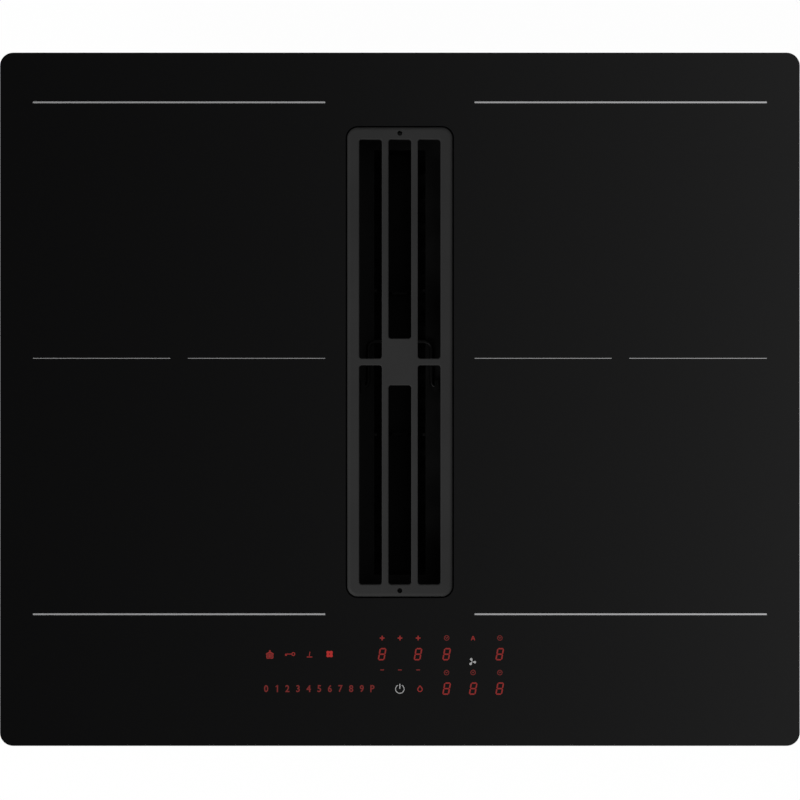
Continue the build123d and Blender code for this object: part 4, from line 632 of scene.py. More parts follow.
def eased_copy(node, name, body, finish, width):
    """A copy of a CAD node with its doubled points merged, flat faces joined and edges eased by a bevel."""
    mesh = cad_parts[node].data.copy()
    shape = bmesh.new()
    shape.from_mesh(mesh)
    bmesh.ops.remove_doubles(shape, verts=shape.verts, dist=0.002 * mm)
    bmesh.ops.dissolve_limit(shape, angle_limit=radians(1), verts=shape.verts, edges=shape.edges)
    bmesh.ops.recalc_face_normals(shape, faces=shape.faces)
    shape.to_mesh(mesh)
    shape.free()
    mesh.name = name
    mesh.shade_smooth()
    mesh.set_sharp_from_angle(angle=radians(50))
    mesh.materials.clear()
    mesh.materials.append(finish)
    piece = bpy.data.objects.new(name, mesh)
    bpy.context.collection.objects.link(piece)
    bevel = piece.modifiers.new("eased_edges", "BEVEL")
    bevel.width, bevel.segments, bevel.limit_method = width * mm, 2, "ANGLE"
    bevel.angle_limit, bevel.use_clamp_overlap = radians(40), True
    piece.modifiers.new("even_light", "WEIGHTED_NORMAL").keep_sharp = True
    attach(piece, body)
    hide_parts(node)
    return piece


def crystals(tree, where, scale, **menus):
    """Random cells: the distance from the middle of each, and its three random tones."""
    cell = put(tree, "ShaderNodeTexVoronoi", {"Vector": where, "Scale": scale}, **menus).outputs
    return cell["Distance"], put(tree, "ShaderNodeSeparateColor", {0: cell["Color"]}).outputs


seal_foam, tree, shader = new_finish("seal_foam", (0.018, 0.018, 0.018), 0.92, Specular_IOR_Level=0.2)
cells, tones = crystals(tree, own_place(tree), 1600.0)
bumped(tree, shader, cells, 0.6, 0.2)
# painted shade: each foam cell is darker towards its middle, where the bump sinks a pore
coloured(tree, shader, cells, (0.008, 0.008, 0.008), (0.024, 0.024, 0.024))
profile = [(0.0, SEAL_LOW), (SEAL_BAND, SEAL_LOW), (SEAL_BAND, SEAL_HIGH), (0.0, SEAL_HIGH)]
moulded("rim_seal", hoop(SEAL, profile, ease=0.9), [seal_foam], "chassis", "seal_foam", "worktop_seal")
dress(seal_foam, "inlet_gasket")
black_rubber = plastic("black_rubber", (0.012, 0.012, 0.012), (0.018, 0.018, 0.018), 0.68, 0.8, 0.5, 0.2)
eased_copy("grille_pads", "grille_feet", "grille", black_rubber, 0.5)

# ---------------------------------------------------------------- grease filter
# A V-shaped basket that drops into the throat. Its frame of black-coated stainless sheet holds two
# folded panels of expanded mesh, stands on a gutter for the grease, and is lifted by a wire bail.
# Frame, bail and mesh are painted darker than a black coat alone, as painted shade in the grille's slots.
PANEL_L, PANEL_FOOT, PANEL_LEAN, GUTTER_TOP = 328.0, 17.53, 0.1274, 56.0
PLEATS, PLEAT_DEPTH, MESH_T = 17, 6.5, 1.5
DIAMOND = {"Y": 4 * mm, "Z": 2 * mm}
BAIL_R, BAIL_Z = 1.5, 156.0
BAIL_PATH = [(-30, 10), (-24, 10), (-24, 44), (24, 44), (24, 10), (30, 10)]


def prism(loops, low, high, finish=0):
    """A straight solid between two levels: the first loop is its outline and the others are holes."""
    sheets = [sleeve(loop, low, high, finish) for loop in loops]
    return sheets + [flat(loops, low, finish), flat(loops, high, finish)]


def folded(side, z):
    """The mesh panel's section at one height: a zigzag with rounded folds, at phase p along the panel
    pleat depth / 2 * (1 + asin(0.97 sin p) / asin 0.97) deep, and the same a mesh thickness further in."""
    along = np.linspace(-PANEL_L / 2, PANEL_L / 2, 12 * PLEATS + 1)
    phase = (along / PANEL_L * PLEATS * 2 - 0.5) * pi
    depth = PLEAT_DEPTH / 2 * (1 + np.arcsin(0.97 * np.sin(phase)) / np.arcsin(0.97))
    across = PANEL_FOOT + PANEL_LEAN * (z - GUTTER_TOP) - depth
    face = np.column_stack([side * across, VENT_MID + along])
    return np.vstack([face, (face - (side * MESH_T, 0))[::-1]])


def tube(path, radius, sides=12, finish=0):
    """A round bar along a path of points in one level: point + radius * (cos a * sideways + sin a * up)."""
    path = np.asarray(path, float)
    along = np.gradient(path, axis=0)
    along /= np.linalg.norm(along, axis=1)[:, None]
    sideways = np.column_stack([along[:, 1], -along[:, 0], 0 * along[:, 0]])
    angle = np.arange(sides) * 2 * pi / sides
    across, up = np.cos(angle)[None, :, None], np.sin(angle)[None, :, None]
    rings = path[:, None] + radius * (across * sideways[:, None] + up * np.array([0, 0, 1.0]))
    ends = [np.broadcast_to(path[k], (1, sides, 3)) for k in (0, -1)]
    return band(np.vstack([ends[0], rings, ends[1]]), finish)


# painted shade: the base colour is darker than a black coat alone, so the frame and bail read as the shade in
# the grille's slots
filter_steel, tree, shader = new_finish("filter_steel", (0.003, 0.003, 0.003), 0.42, Specular_IOR_Level=0.12)
bumped(tree, shader, place_noise(tree, 30.0, 4.0, (1.0, 1.0, 60.0)), 0.08, 0.05)
coloured(tree, shader, handled(tree, shader, 30, 0.34, 0.48), (0.002, 0.002, 0.002), (0.004, 0.004, 0.004))
eased_copy("filter_frame", "filter_basket_frame", "grease_filter", filter_steel, 0.35)

# expanded mesh: a lattice of diamonds 4 mm long and 2 mm high, strand paler and opening sunk; the opening's
# near black is painted shade seen through the hole, and the strand too is painted darker than a black coat,
# as painted shade
filter_mesh, tree, shader = new_finish("filter_mesh", (0.006, 0.006, 0.006), 0.42, Specular_IOR_Level=0.35)
axes = put(tree, "ShaderNodeSeparateXYZ", {0: own_place(tree)}).outputs
phases = [calc(tree, "MULTIPLY", axes[axis], 2 * pi / pitch) for axis, pitch in DIAMOND.items()]
diamond = calc(tree, "ABSOLUTE", calc(tree, "ADD", *[calc(tree, "COSINE", phase) for phase in phases]))
opening = ranged(tree, diamond, 0.35, 0.8)
# painted shade: openings ten times darker than the strands, for the dark seen through the holes
coloured(tree, shader, opening, (0.008, 0.008, 0.008), (0.0008, 0.0008, 0.0008))
bumped(tree, shader, calc(tree, "SUBTRACT", 1.0, opening), 0.8, 0.3)
for side, hand in ((-1, "left"), (1, "right")):
    low, high = folded(side, GUTTER_TOP), folded(side, FILTER_SEAT)
    panel = [band([raised(low, GUTTER_TOP), raised(high, FILTER_SEAT)])]
    panel += [flat([low], GUTTER_TOP), flat([high], FILTER_SEAT)]
    name, node = f"pleated_mesh_{hand}", f"filter_mesh_{hand}"
    moulded(name, panel, [filter_mesh], "grease_filter", "filter_mesh", node, smooth=60)

wire = np.column_stack([eased(BAIL_PATH, 6.0, closed=False, steps=8), np.full(2 + 4 * 9, BAIL_Z)])
moulded("wire_bail", [tube(wire, BAIL_R)], [filter_steel], "filter_handle", "filter_steel", "filter_handle")

# ---------------------------------------------------------------- drip tray
# A dark moulded trough with sloping walls and a turned-out lip, standing on the floor of the inlet
# chamber. The upright fin in its middle has a finger hole to lift it by.
TRAY, TRAY_LOW, TRAY_TOP, TRAY_FLOOR, LIP = (58.0, 331.0, 7.5), 2.5, 32.5, 4.0, 1.5
FIN, FINGER_HOLE, FIN_T = (30.0, 36.5, 4.0), (12.0, 12.0, 6.0), 2.0


def posed(sheets, x=0.0, y=0.0, z=0.0, spin=0.0, tip=0.0):
    """Surfaces tipped about the X axis, then spun about the Z axis, then moved."""
    turn = np.array([[cos(spin), -sin(spin), 0], [sin(spin), cos(spin), 0], [0, 0, 1]])
    turn = turn @ np.array([[1, 0, 0], [0, cos(tip), -sin(tip)], [0, sin(tip), cos(tip)]])
    return [(points @ turn.T + (x, y, z), *rest) for points, *rest in sheets]


def plate(outer, holes, low, high, ease=0.4, steps=6, finish=0):
    """A plate with holes between two levels. Each outline is (width, length, radius, x, y); at both faces
    the outer one is drawn in by `ease` and the holes are drawn out."""
    rows = [(ease, low), (0.3 * ease, low + 0.3 * ease), (0, low + ease)]
    rows += [(0, high - ease), (0.3 * ease, high - 0.3 * ease), (ease, high)]
    stacks = []
    for sign, (width, length, radius, x, y) in [(1, outer)] + [(-1, hole) for hole in holes]:
        sizes = [(width - 2 * sign * d, length - 2 * sign * d, max(radius - sign * d, 0.05)) for d, z in rows]
        stacks.append([rounded(*size, x, y, steps) for size in sizes])
    sheets = [band([raised(loop, z) for loop, (d, z) in zip(stack, rows)], finish) for stack in stacks]
    return sheets + [flat([stack[k] for stack in stacks], rows[k][1], finish) for k in (0, -1)]


tray_plastic = plastic("tray_plastic", (0.008, 0.008, 0.008), (0.012, 0.012, 0.012), 0.26, 0.36, 0.6, 0.05)
profile = [(8.5, TRAY_LOW), (4.65, TRAY_LOW), (LIP, TRAY_TOP - LIP), (0.0, TRAY_TOP - LIP), (0.0, TRAY_TOP)]
profile += [(3.16, TRAY_TOP), (6.15, TRAY_FLOOR), (10.5, TRAY_FLOOR)]
trough = hoop(TRAY, profile, 0, VENT_MID, ease=0.9, closed=False)
fin = plate((*FIN, VENT_MID, 21.75), [(*FINGER_HOLE, VENT_MID, 28.0)], -FIN_T / 2, FIN_T / 2, 0.5)
trough += posed(fin, spin=pi / 2, tip=pi / 2)
moulded("grease_tray", trough, [tray_plastic], "drip_tray", "tray_plastic", "drip_tray")

# ---------------------------------------------------------------- inlet chamber
# A deep moulded box screwed up under the pan round the vent. It holds the drip tray, and a window in
# its right wall leads to the blower. Ribs stiffen the other long wall and short ones brace the flange.
CHAMBER, CHAMBER_SIDE, CHAMBER_WALL = (87.0, 360.0, 14.0), 43.5, 2.5
CHAMBER_TOP, CHAMBER_FLANGE, FLANGE_FOOT = 146.0, 10.0, 143.5
WINDOW_Y, WINDOW_W, WINDOW_LOW, WINDOW_HIGH = -20.0, 175.0, 92.5, 137.5
RIB_YS, GUSSETS = (-92, -32, 28, 88, 148), ((208, pi / 2), (-152, -pi / 2))


def corners(left, right, front, rear):
    """A plain rectangle between two x and two y values, anticlockwise."""
    return np.array([(left, front), (right, front), (right, rear), (left, rear)])


def walled(outline, rows, level, side, holes, y=0.0, steps=8):
    """A wall carried up through rows of (distance in, height) round a rectangle, with one side (0 right, 1
    rear, 2 left, 3 front) put back as an upright sheet with holes between its first and last rows."""
    width, length, radius = outline
    loops = [rounded(width - 2 * d, length - 2 * d, radius - d, 0, y, steps) for d, z in rows]
    loops = [np.roll(loop, -side * (len(loop) // 4), axis=0) for loop in loops]
    axis = 1 if side in (0, 2) else 0
    ends = loops[0][0][axis], loops[0][-1][axis]
    low, high = min(ends), max(ends)
    z0, z1 = rows[0][1], rows[-1][1]
    sheet = [flat([corners(low, high, z0, z1)] + holes, level)]
    sheet = posed(sheet, spin=pi / 2, tip=pi / 2) if axis else posed(sheet, tip=pi / 2)
    return [band([raised(loop, z) for loop, (d, z) in zip(loops, rows)], closed=False)] + sheet


def screw(x, y, z, radius=3.4, height=2.2, tip=0.0, spin=0.0, finish=1):
    """A pan head of dome shape over rings of points, sunk where its cross recess lies."""
    share = np.array([0.0, 1.0, 1.0, 0.95, 0.82, 0.62, 0.4, 0.2, 0.0])[:, None]
    dome = np.array([0.0, 0.0, 0.5, 0.75, 0.93, 1.0, 1.0, 1.0, 1.0])[:, None]
    angle = np.arange(24) * pi / 12
    across, along = radius * share * np.cos(angle), radius * share * np.sin(angle)
    thin, long = np.minimum(abs(across), abs(along)), np.maximum(abs(across), abs(along))
    recess = (thin < 0.15 * radius) & (long < 0.6 * radius)
    up = height * dome * (1 - 0.55 * recess)
    return posed([band(np.stack([across, along, up], -1), finish)], x, y, z, spin, tip)


zinc_steel, tree, shader = new_finish("zinc_steel", (0.6, 0.6, 0.58), 0.32, 1.0)
coloured(tree, shader, handled(tree, shader, 9, 0.26, 0.42), (0.52, 0.53, 0.54), (0.66, 0.65, 0.61))

foot = [(6.0, 0.0), (1.2, 0.0), (0.35, 0.35), (0.0, 1.2)]
box = hoop(CHAMBER, foot, 0, VENT_MID, closed=False)[:2]
window = rounded(WINDOW_W, WINDOW_HIGH - WINDOW_LOW, 3.0, WINDOW_Y, (WINDOW_LOW + WINDOW_HIGH) / 2, 5)
box += walled(CHAMBER, [(0.0, 1.2), (0.0, FLANGE_FOOT)], CHAMBER_SIDE, 0, [window], VENT_MID)
rows = [(0.0, FLANGE_FOOT), (0.6 - CHAMBER_FLANGE, FLANGE_FOOT), (-CHAMBER_FLANGE, FLANGE_FOOT + 0.6)]
rows += [(-CHAMBER_FLANGE, CHAMBER_TOP), (CHAMBER_WALL, CHAMBER_TOP)]
box += hoop(CHAMBER, rows, 0, VENT_MID, closed=False)[:1]
rows = [(CHAMBER_WALL, CHAMBER_TOP), (CHAMBER_WALL, CHAMBER_WALL)]
box += walled(CHAMBER, rows, CHAMBER_SIDE - CHAMBER_WALL, 0, [window], VENT_MID)
inner = (CHAMBER[0] - 2 * CHAMBER_WALL, CHAMBER[1] - 2 * CHAMBER_WALL, CHAMBER[2] - CHAMBER_WALL)
box += [flat([rounded(*inner, 0, VENT_MID, 8)], CHAMBER_WALL)]
box += posed([sleeve(window, CHAMBER_SIDE - CHAMBER_WALL, CHAMBER_SIDE)], spin=pi / 2, tip=pi / 2)
rib = [(-46.5, 5.0), (-46.5, 141.0), (-45.0, 143.5), (-43.2, 143.5), (-43.2, 2.5), (-45.0, 2.5)]
for y in RIB_YS:
    box += posed(prism([eased(rib, 1.0)], -y - 1.0, -y + 1.0), tip=pi / 2)
gusset = [(0.0, 143.8), (9.0, 143.8), (9.0, 141.5), (0.0, 130.0), (-0.4, 130.0), (-0.4, 143.8)]
for y, spin in GUSSETS:
    for x in (-18, 18):
        box += posed(posed(prism([np.array(gusset)], -0.9, 0.9), tip=pi / 2), x, y, 0, spin)
for x in (-47.84, 47.84):
    for y in (-140, 196):
        box += screw(x, y, FLANGE_FOOT, tip=pi)
moulded("air_inlet_box", box, [black_plastic, zinc_steel], "chassis", "black_plastic", "inlet_chamber")

# ---------------------------------------------------------------- pan
# A shallow pan pressed from 1 mm galvanised sheet that holds the electronics and hangs under the
# glass by its turned-out rim. Air comes in through slots below the fans and leaves at the front.
PAN, PAN_X, PAN_Y, PAN_LOW, PAN_TOP = (546.0, 476.0, 8.0), 273.0, 238.0, 146.0, 206.0
SHEET, PAN_RIM = 1.0, 5.0
INTAKE_X, INTAKE_Y, INTAKE_R = 216.0, 181.0, 33.0
EXHAUST_X, EXHAUST_Z, EXHAUST_PITCH = 165.5, 176.0, 15.0
PAN_SCREW_Z, PAN_SCREW = 158.0, (3.0, 2.0)

# Spangle: the crystals of a hot-dip zinc coat, each with its own tone, and fine grey drawing lines.
galvanised_steel, tree, shader = new_finish("galvanised_steel", (0.55, 0.57, 0.58), 0.4, 1.0)
where = own_place(tree)
warp = put(tree, "ShaderNodeTexNoise", {"Vector": where, "Scale": 60.0, "Detail": 2.0}).outputs["Color"]
feeds = {0: warp, 1: (0.012, 0.012, 0.012), 2: where}
bent = put(tree, "ShaderNodeVectorMath", feeds, operation="MULTIPLY_ADD").outputs[0]
cells, tones = crystals(tree, bent, 170.0)
coloured(tree, shader, tones[0], (0.5, 0.52, 0.535), (0.6, 0.615, 0.625))
roughened(tree, shader, tones[1], 0.34, 0.46)
bumped(tree, shader, tones[2], 0.05, 0.1)

floor_holes = [rounded(77, 350, 7, 0, VENT_MID, 8)]
for side in (-1, 1):
    for across in (-24, -12, 0, 12, 24):
        reach = 2 * sqrt(INTAKE_R**2 - across**2)
        floor_holes.append(rounded(5, reach, 2.2, side * INTAKE_X + across, INTAKE_Y, 4))
vents = []
for side in (-1, 1):
    vents += [rounded(4, 26, 1.9, side * EXHAUST_X + k * EXHAUST_PITCH, EXHAUST_Z, 4) for k in range(-3, 4)]
bend = [(2.0, PAN_LOW), (1.0, PAN_LOW + 0.3), (0.3, PAN_LOW + 1.0), (0.0, PAN_LOW + 2.0)]
pan = hoop(PAN, bend, closed=False)[:1]
pan += walled(PAN, [(0.0, PAN_LOW + 2.0), (0.0, PAN_TOP - SHEET)], PAN_Y, 3, vents)
rows = [(0.0, PAN_TOP - SHEET), (-PAN_RIM, PAN_TOP - SHEET), (-PAN_RIM, PAN_TOP)]
rows += [(0.3, PAN_TOP), (1.0, PAN_TOP - 0.7)]
pan += hoop(PAN, rows, closed=False)[:1]
pan += walled(PAN, [(1.0, PAN_TOP - 0.7), (1.0, PAN_LOW + 2.0)], PAN_Y - SHEET, 3, vents)
rows = [(1.0, PAN_LOW + 2.0), (1.3, PAN_LOW + 1.3), (2.0, PAN_LOW + 1.0)]
pan += hoop(PAN, rows, closed=False)[:1]
pan += posed([sleeve(loop, PAN_Y - SHEET, PAN_Y) for loop in vents], tip=pi / 2)
floor_edge = rounded(PAN[0] - 4, PAN[1] - 4, PAN[2] - 2, 0, 0, 8)
pan += [flat([floor_edge] + floor_holes, z) for z in (PAN_LOW, PAN_LOW + SHEET)]
pan += [sleeve(loop, PAN_LOW, PAN_LOW + SHEET) for loop in floor_holes]
# shallow beads pressed out of the side and rear walls, and the screws of the parts inside
bead = [(0.0, -0.3), (0.0, 0.0), (1.6, 0.6), (3.4, 1.0), (6.0, 1.1)]
for width, x, y, spin in ((190, -PAN_X, 0, -pi / 2), (190, PAN_X, 0, pi / 2), (230, 60, PAN_Y, pi)):
    press = hoop((width, 18, 8), bead, closed=False, steps=5)
    pan += posed(posed(press, tip=pi / 2), x, y, EXHAUST_Z, spin)
spots = [(x, -PAN_Y, 0.0) for x in (-210, -70, 70, 210)] + [(x, PAN_Y, pi) for x in (-240, -120, 200)]
spots += [(side * PAN_X, y, side * pi / 2) for side in (-1, 1) for y in (-115, 115)]
for x, y, spin in spots:
    pan += screw(x, y, PAN_SCREW_Z, *PAN_SCREW, tip=pi / 2, spin=spin)
moulded("steel_pan", pan, [galvanised_steel, zinc_steel], "chassis", "galvanised_steel", "base_pan")

# ---------------------------------------------------------------- worktop clips
# Four springs bent from hard steel strip, riveted to the sides of the pan. Pushed down through the
# cut-out they give way, then press out against its edges.
CLIP_TOP, CLIP_FOOT, CLIP_W, CLIP_X = 194.0, 156.0, 22.0, 274.0


def brushed(name, colour, low, high, stretch):
    """A metal with a fine grain in one direction: noise drawn out a hundred times along it."""
    finish, tree, shader = new_finish(name, colour, low, 1.0)
    grain = place_noise(tree, 40.0, 4.0, stretch)
    roughened(tree, shader, grain, low, high, 0.3, 0.7)
    coloured(tree, shader, grain, [0.82 * c for c in colour], colour)
    bumped(tree, shader, grain, 0.08, 0.03)
    return finish


spring_steel = brushed("spring_steel", (0.42, 0.43, 0.44), 0.22, 0.34, (60.0, 60.0, 0.6))
strip = []
for x, bend, knee in ((CLIP_X, 13, 25.5), (PAN_X, 12.7, 25.3)):
    side = [(x, CLIP_TOP), (x, CLIP_TOP - bend), (x + 5, CLIP_TOP - knee), (x + 1, CLIP_FOOT)]
    strip.append(eased(side, 4.0, closed=False, steps=6))
section = np.vstack([strip[0], strip[1][::-1]])
springs = []
for mirrored in (1, -1):
    for y in (-150, 150):
        springs += posed(prism([section * (mirrored, 1)], -y - CLIP_W / 2, -y + CLIP_W / 2), tip=pi / 2)
        for across in (-6, 6):
            place = mirrored * CLIP_X, y + across, CLIP_TOP - 6
            springs += screw(*place, 2.2, 1.1, tip=pi / 2, spin=mirrored * pi / 2, finish=0)
moulded("cutout_springs", springs, [spring_steel], "chassis", "spring_steel", "worktop_clips")

# ---------------------------------------------------------------- blower housing
# A two-part moulding of glass-filled plastic: a spiral case with a flat floor, and a lid with a
# bell mouth over the impeller. Screws in bosses round the case clamp the two flanges together.
AXIS_X, AXIS_Y, TONGUE_R, SCROLL_END_R, TONGUE_AT = 146.0, -20.0, 88.0, 117.5, radians(100.0)
CASE_LEFT, SHOULDER_Y, CASE_REAR, CASE_WALL, CASE_TOP, FLANGE_T = 46.5, 185.0, 205.0, 2.5, 90.0, 2.5
RIM_OUT, RIM_LEFT, LID_LOW, BOSS_OUT = 4.5, 43.8, 87.5, 5.5
EYE_R, BELL_R, BELL_DEPTH, BELL_LIP, BELL_T = 60.0, 72.0, 12.0, 73.0, 2.0
SCROLL_GROWTH = log(SCROLL_END_R / TONGUE_R) / (2 * pi - TONGUE_AT)


def spiral(angle, grow=0.0):
    """The scroll's wall: radius = tongue radius * exp(growth * angle past the tongue) + a wall."""
    radius = TONGUE_R * np.exp(SCROLL_GROWTH * (angle - TONGUE_AT)) + grow
    return np.column_stack([AXIS_X + radius * np.cos(angle), AXIS_Y + radius * np.sin(angle)])


def scroll(grow=0.0, closest=0.0):
    """The case seen from above, grown by a wall: the spiral from where it leaves the slanted outlet wall
    round to +X, and straight sides to the rear; no point lies further left than `closest`."""
    tongue, shoulder = spiral(np.array([TONGUE_AT]))[0], np.array([CASE_LEFT, SHOULDER_Y])
    slant = (tongue - shoulder) / np.linalg.norm(tongue - shoulder)
    outwards = np.array([slant[1], -slant[0]])
    trial = np.linspace(TONGUE_AT, TONGUE_AT + 0.7, 500)
    start = trial[np.argmax((spiral(trial, grow) - tongue) @ outwards >= grow - 1e-9)]
    curve = spiral(np.linspace(start, 2 * pi, 110), grow)
    left = CASE_LEFT - grow
    foot = tongue + outwards * grow
    corner = foot + slant * (left - foot[0]) / slant[0]
    loop = np.vstack([curve, [(AXIS_X + SCROLL_END_R + grow, CASE_REAR), (left, CASE_REAR), corner]])
    return np.maximum(loop, (closest, -np.inf))


def turned(profile, x=AXIS_X, y=AXIS_Y, sides=64, ease=0.0, closed=True, finish=0):
    """A profile of (radius, height) turned about an upright axis: (x + r cos a, y + r sin a, z)."""
    rows = eased(profile, ease, closed) if ease else np.asarray(profile, float)
    rows = np.vstack([rows, rows[:1]]) if closed else rows
    angle = np.arange(sides) * 2 * pi / sides
    radius, height = rows[:, :1], rows[:, 1:]
    ring = [x + radius * np.cos(angle), y + radius * np.sin(angle), height + 0 * angle]
    return [band(np.stack(ring, -1), finish)]


def post(x, y, radius, low, high, ease=0.5):
    """A round post between two levels, its rims eased."""
    return turned([(0, low), (radius, low), (radius, high), (0, high)], x, y, 24, ease, False)


def open_wall(outer, inner, low, high):
    """A wall of even thickness, open at its rear, from an outer and an inner loop started at the opening."""
    return prism([np.vstack([outer, inner[::-1]])], low, high)


tongue = spiral(np.array([TONGUE_AT]))[0]
slanted = np.array([CASE_LEFT, SHOULDER_Y]) * 0.3 + tongue * 0.7 + np.array([-0.815, -0.58]) * BOSS_OUT
boss_spots = [tuple(spiral(np.array([radians(a)]), BOSS_OUT)[0]) for a in (245, 285, 325)]
boss_spots += [(AXIS_X + SCROLL_END_R + BOSS_OUT, AXIS_Y + 80.0), tuple(slanted)]
foot = (3.0, 0.0), (1.2, 0.0), (0.35, 0.35), (0.0, 1.2), (0.0, CASE_WALL)
case = [band([raised(scroll(CASE_WALL - d), z) for d, z in foot])]
case += [flat([scroll(-0.5)], 0.0), flat([scroll(CASE_WALL)], CASE_WALL)]
case += open_wall(*[np.roll(scroll(grow), 2, 0) for grow in (CASE_WALL, 0.0)], CASE_WALL - 0.1, LID_LOW)
rim = np.roll(scroll(RIM_OUT, RIM_LEFT), 2, 0), np.roll(scroll(1.0), 2, 0)
case += open_wall(*rim, LID_LOW - FLANGE_T, LID_LOW - 0.1)
for x, y in boss_spots:
    case += post(x, y, RIM_OUT, 0.0, LID_LOW, 0.6)
web = corners(-1.0, 3.0, -0.8, 0.8)
turns = [radians(angle) for angle in (225, 265, 305, 345)]
webs = [(*spiral(np.array([turn]), CASE_WALL)[0], turn) for turn in turns]
webs += [(AXIS_X + SCROLL_END_R + CASE_WALL, y, 0.0) for y in (20, 100, 140, 180)]
for place in webs:
    case += prism([moved(web, *place)], 0.4, LID_LOW - FLANGE_T)
moulded("scroll_case", case, [black_plastic], "chassis", "black_plastic", "volute_lower")

eye = moved(arc(BELL_R, steps=96), AXIS_X, AXIS_Y)
lid_rows = [(0.0, LID_LOW), (0.0, CASE_TOP - 0.9), (0.3, CASE_TOP - 0.25), (0.9, CASE_TOP)]
rims = [scroll(RIM_OUT - d, RIM_LEFT + d) for d, z in lid_rows]
lid = [band([raised(rim, z) for rim, (d, z) in zip(rims, lid_rows)])]
lid += [flat([rims[0], eye], LID_LOW), flat([rims[-1], eye], CASE_TOP)]
lid += [sleeve(eye, LID_LOW, CASE_TOP)]
sweep = np.linspace(0, pi / 2, 9)
mouth = [(EYE_R + BELL_DEPTH * (1 - cos(t)), CASE_TOP - BELL_DEPTH * (1 - sin(t))) for t in sweep]
lining = [(r + BELL_T, z - 0.6) for r, z in mouth[::-1]]
lid += turned([(EYE_R, BELL_LIP), *mouth, *lining, (EYE_R + BELL_T, BELL_LIP)], sides=96)
for x, y in boss_spots:
    lid += post(x, y, RIM_OUT + 0.1, LID_LOW, CASE_TOP + 0.3) + screw(x, y, CASE_TOP + 0.2, 3.6, 2.0)
moulded("scroll_lid", lid, [black_plastic, zinc_steel], "chassis", "black_plastic", "volute_cover")

# ---------------------------------------------------------------- outlet spigot
# A moulded stub for 222 x 89 mm flat duct, snapped on the rear of the case behind a flange. A low
# snap bead runs round it near its end, which is drawn in a little to lead the duct on. It is drawn
# lying on its back, with each distance out from the case below zero, and then tipped upright.
SPIGOT_X, SPIGOT_Z, SPIGOT = 155.0, 45.0, (222.0, 89.0, 4.0)
profile = [(0.0, 2.0), (0.0, 21.0), (-0.45, 22.2), (-0.45, 24.0), (0.0, 25.2), (0.0, 34.5), (1.2, 36.0)]
profile += [(2.0, 36.0), (2.5, 35.2), (2.5, 0.0), (0.6, 0.0)]
stub = hoop(SPIGOT, [(d, -CASE_REAR - out) for d, out in profile], SPIGOT_X, SPIGOT_Z)
flange, bore = (228, 90, 4, SPIGOT_X, SPIGOT_Z), (217, 84, 3, SPIGOT_X, SPIGOT_Z)
stub += plate(flange, [bore], -CASE_REAR - 3, -CASE_REAR, 0.6)
for x in SPIGOT_X + np.linspace(-90, 90, 7):
    stub += prism([corners(x - 0.7, x + 0.7, 89.2, 90.0)], -CASE_REAR - 19, -CASE_REAR - 2)
moulded("duct_spigot", posed(stub, tip=pi / 2), [black_plastic], "chassis", "black_plastic", "outlet_spigot")

# ---------------------------------------------------------------- suction duct
# A flat moulded duct from the window of the inlet chamber to the blower's eye, closed above by the
# pan. Ribs stiffen its lid, and three posts carry it on screws from the pan.
DUCT_R, DUCT_LEFT, DUCT_LOW, DUCT_TOP, DUCT_WALL = 90.0, CHAMBER_SIDE, 90.0, 140.0, 2.5
RIB_LOW, RIB_HIGH, DUCT_EYE_R = DUCT_TOP - 0.2, DUCT_TOP + 1.4, 75.0
DUCT_POSTS, POST_R = ((101, -65), (101, 25), (191, -20)), 6.0


def duct(grow=0.0):
    """The duct seen from above: half a circle round the eye, closed by straight sides to the chamber."""
    bend = moved(arc(DUCT_R + grow, -90, 90, 48, False), AXIS_X, AXIS_Y)
    ends = [(DUCT_LEFT, AXIS_Y + DUCT_R + grow), (DUCT_LEFT, AXIS_Y - DUCT_R - grow)]
    return np.vstack([bend, ends])


eye = moved(arc(DUCT_EYE_R, steps=72), AXIS_X, AXIS_Y)
duct_piece = prism([duct(), eye], DUCT_LOW, DUCT_LOW + DUCT_WALL)
sides = [np.roll(duct(grow), 1, 0) for grow in (0.0, -DUCT_WALL)]
duct_piece += open_wall(*sides, DUCT_LOW + DUCT_WALL - 0.1, DUCT_TOP - DUCT_WALL + 0.1)
rows = [(0.0, DUCT_TOP - DUCT_WALL), (0.0, DUCT_TOP - 1.5), (-0.45, DUCT_TOP - 0.45), (-1.5, DUCT_TOP)]
duct_piece += [band([raised(duct(grow), z) for grow, z in rows])]
duct_piece += [flat([duct()], DUCT_TOP - DUCT_WALL), flat([duct(-1.5)], DUCT_TOP)]
for y in (-90, -55, -20, 15, 50):
    reach = AXIS_X + 0.92 * sqrt(DUCT_R**2 - (y - AXIS_Y) ** 2)
    duct_piece += prism([corners(52, reach, y - 0.8, y + 0.8)], RIB_LOW, RIB_HIGH)
duct_piece += turned([(61, RIB_LOW), (62.6, RIB_LOW), (62.6, RIB_HIGH), (61, RIB_HIGH)])
for x, y in DUCT_POSTS:
    duct_piece += post(x, y, POST_R, DUCT_TOP, PAN_LOW)
collar = plate((194, 52.6, 5, AXIS_Y, 116.7), [(175, 45, 3, AXIS_Y, 115)], DUCT_LEFT, DUCT_LEFT + 2.2, 0.5)
duct_piece += posed(collar, spin=pi / 2, tip=pi / 2)
for y in (AXIS_Y - 93, AXIS_Y + 93):
    duct_piece += screw(DUCT_LEFT + 2.1, y, 130, 2.6, 1.6, tip=pi / 2, spin=pi / 2)
moulded("suction_duct", duct_piece, [black_plastic, zinc_steel], "chassis", "black_plastic", "suction_plenum")

# ---------------------------------------------------------------- impeller
# One moulding of glass-filled plastic: 26 curved blades between a floor pressed on the motor's can
# and a shroud ring. Air enters by the eye and leaves all round.
EYE_BLADE_R, IMPELLER_R = 64.0, 80.0
BLADES, BLADE_T, BLADE_TURN, BLADE_ARC = 26, 1.4, radians(72), 16.01
CAN_R, WHEEL_LOW, FLOOR_TOP, SHROUD_LOW, WHEEL_TOP = 45.0, 10.0, 12.0, 72.0, 75.0


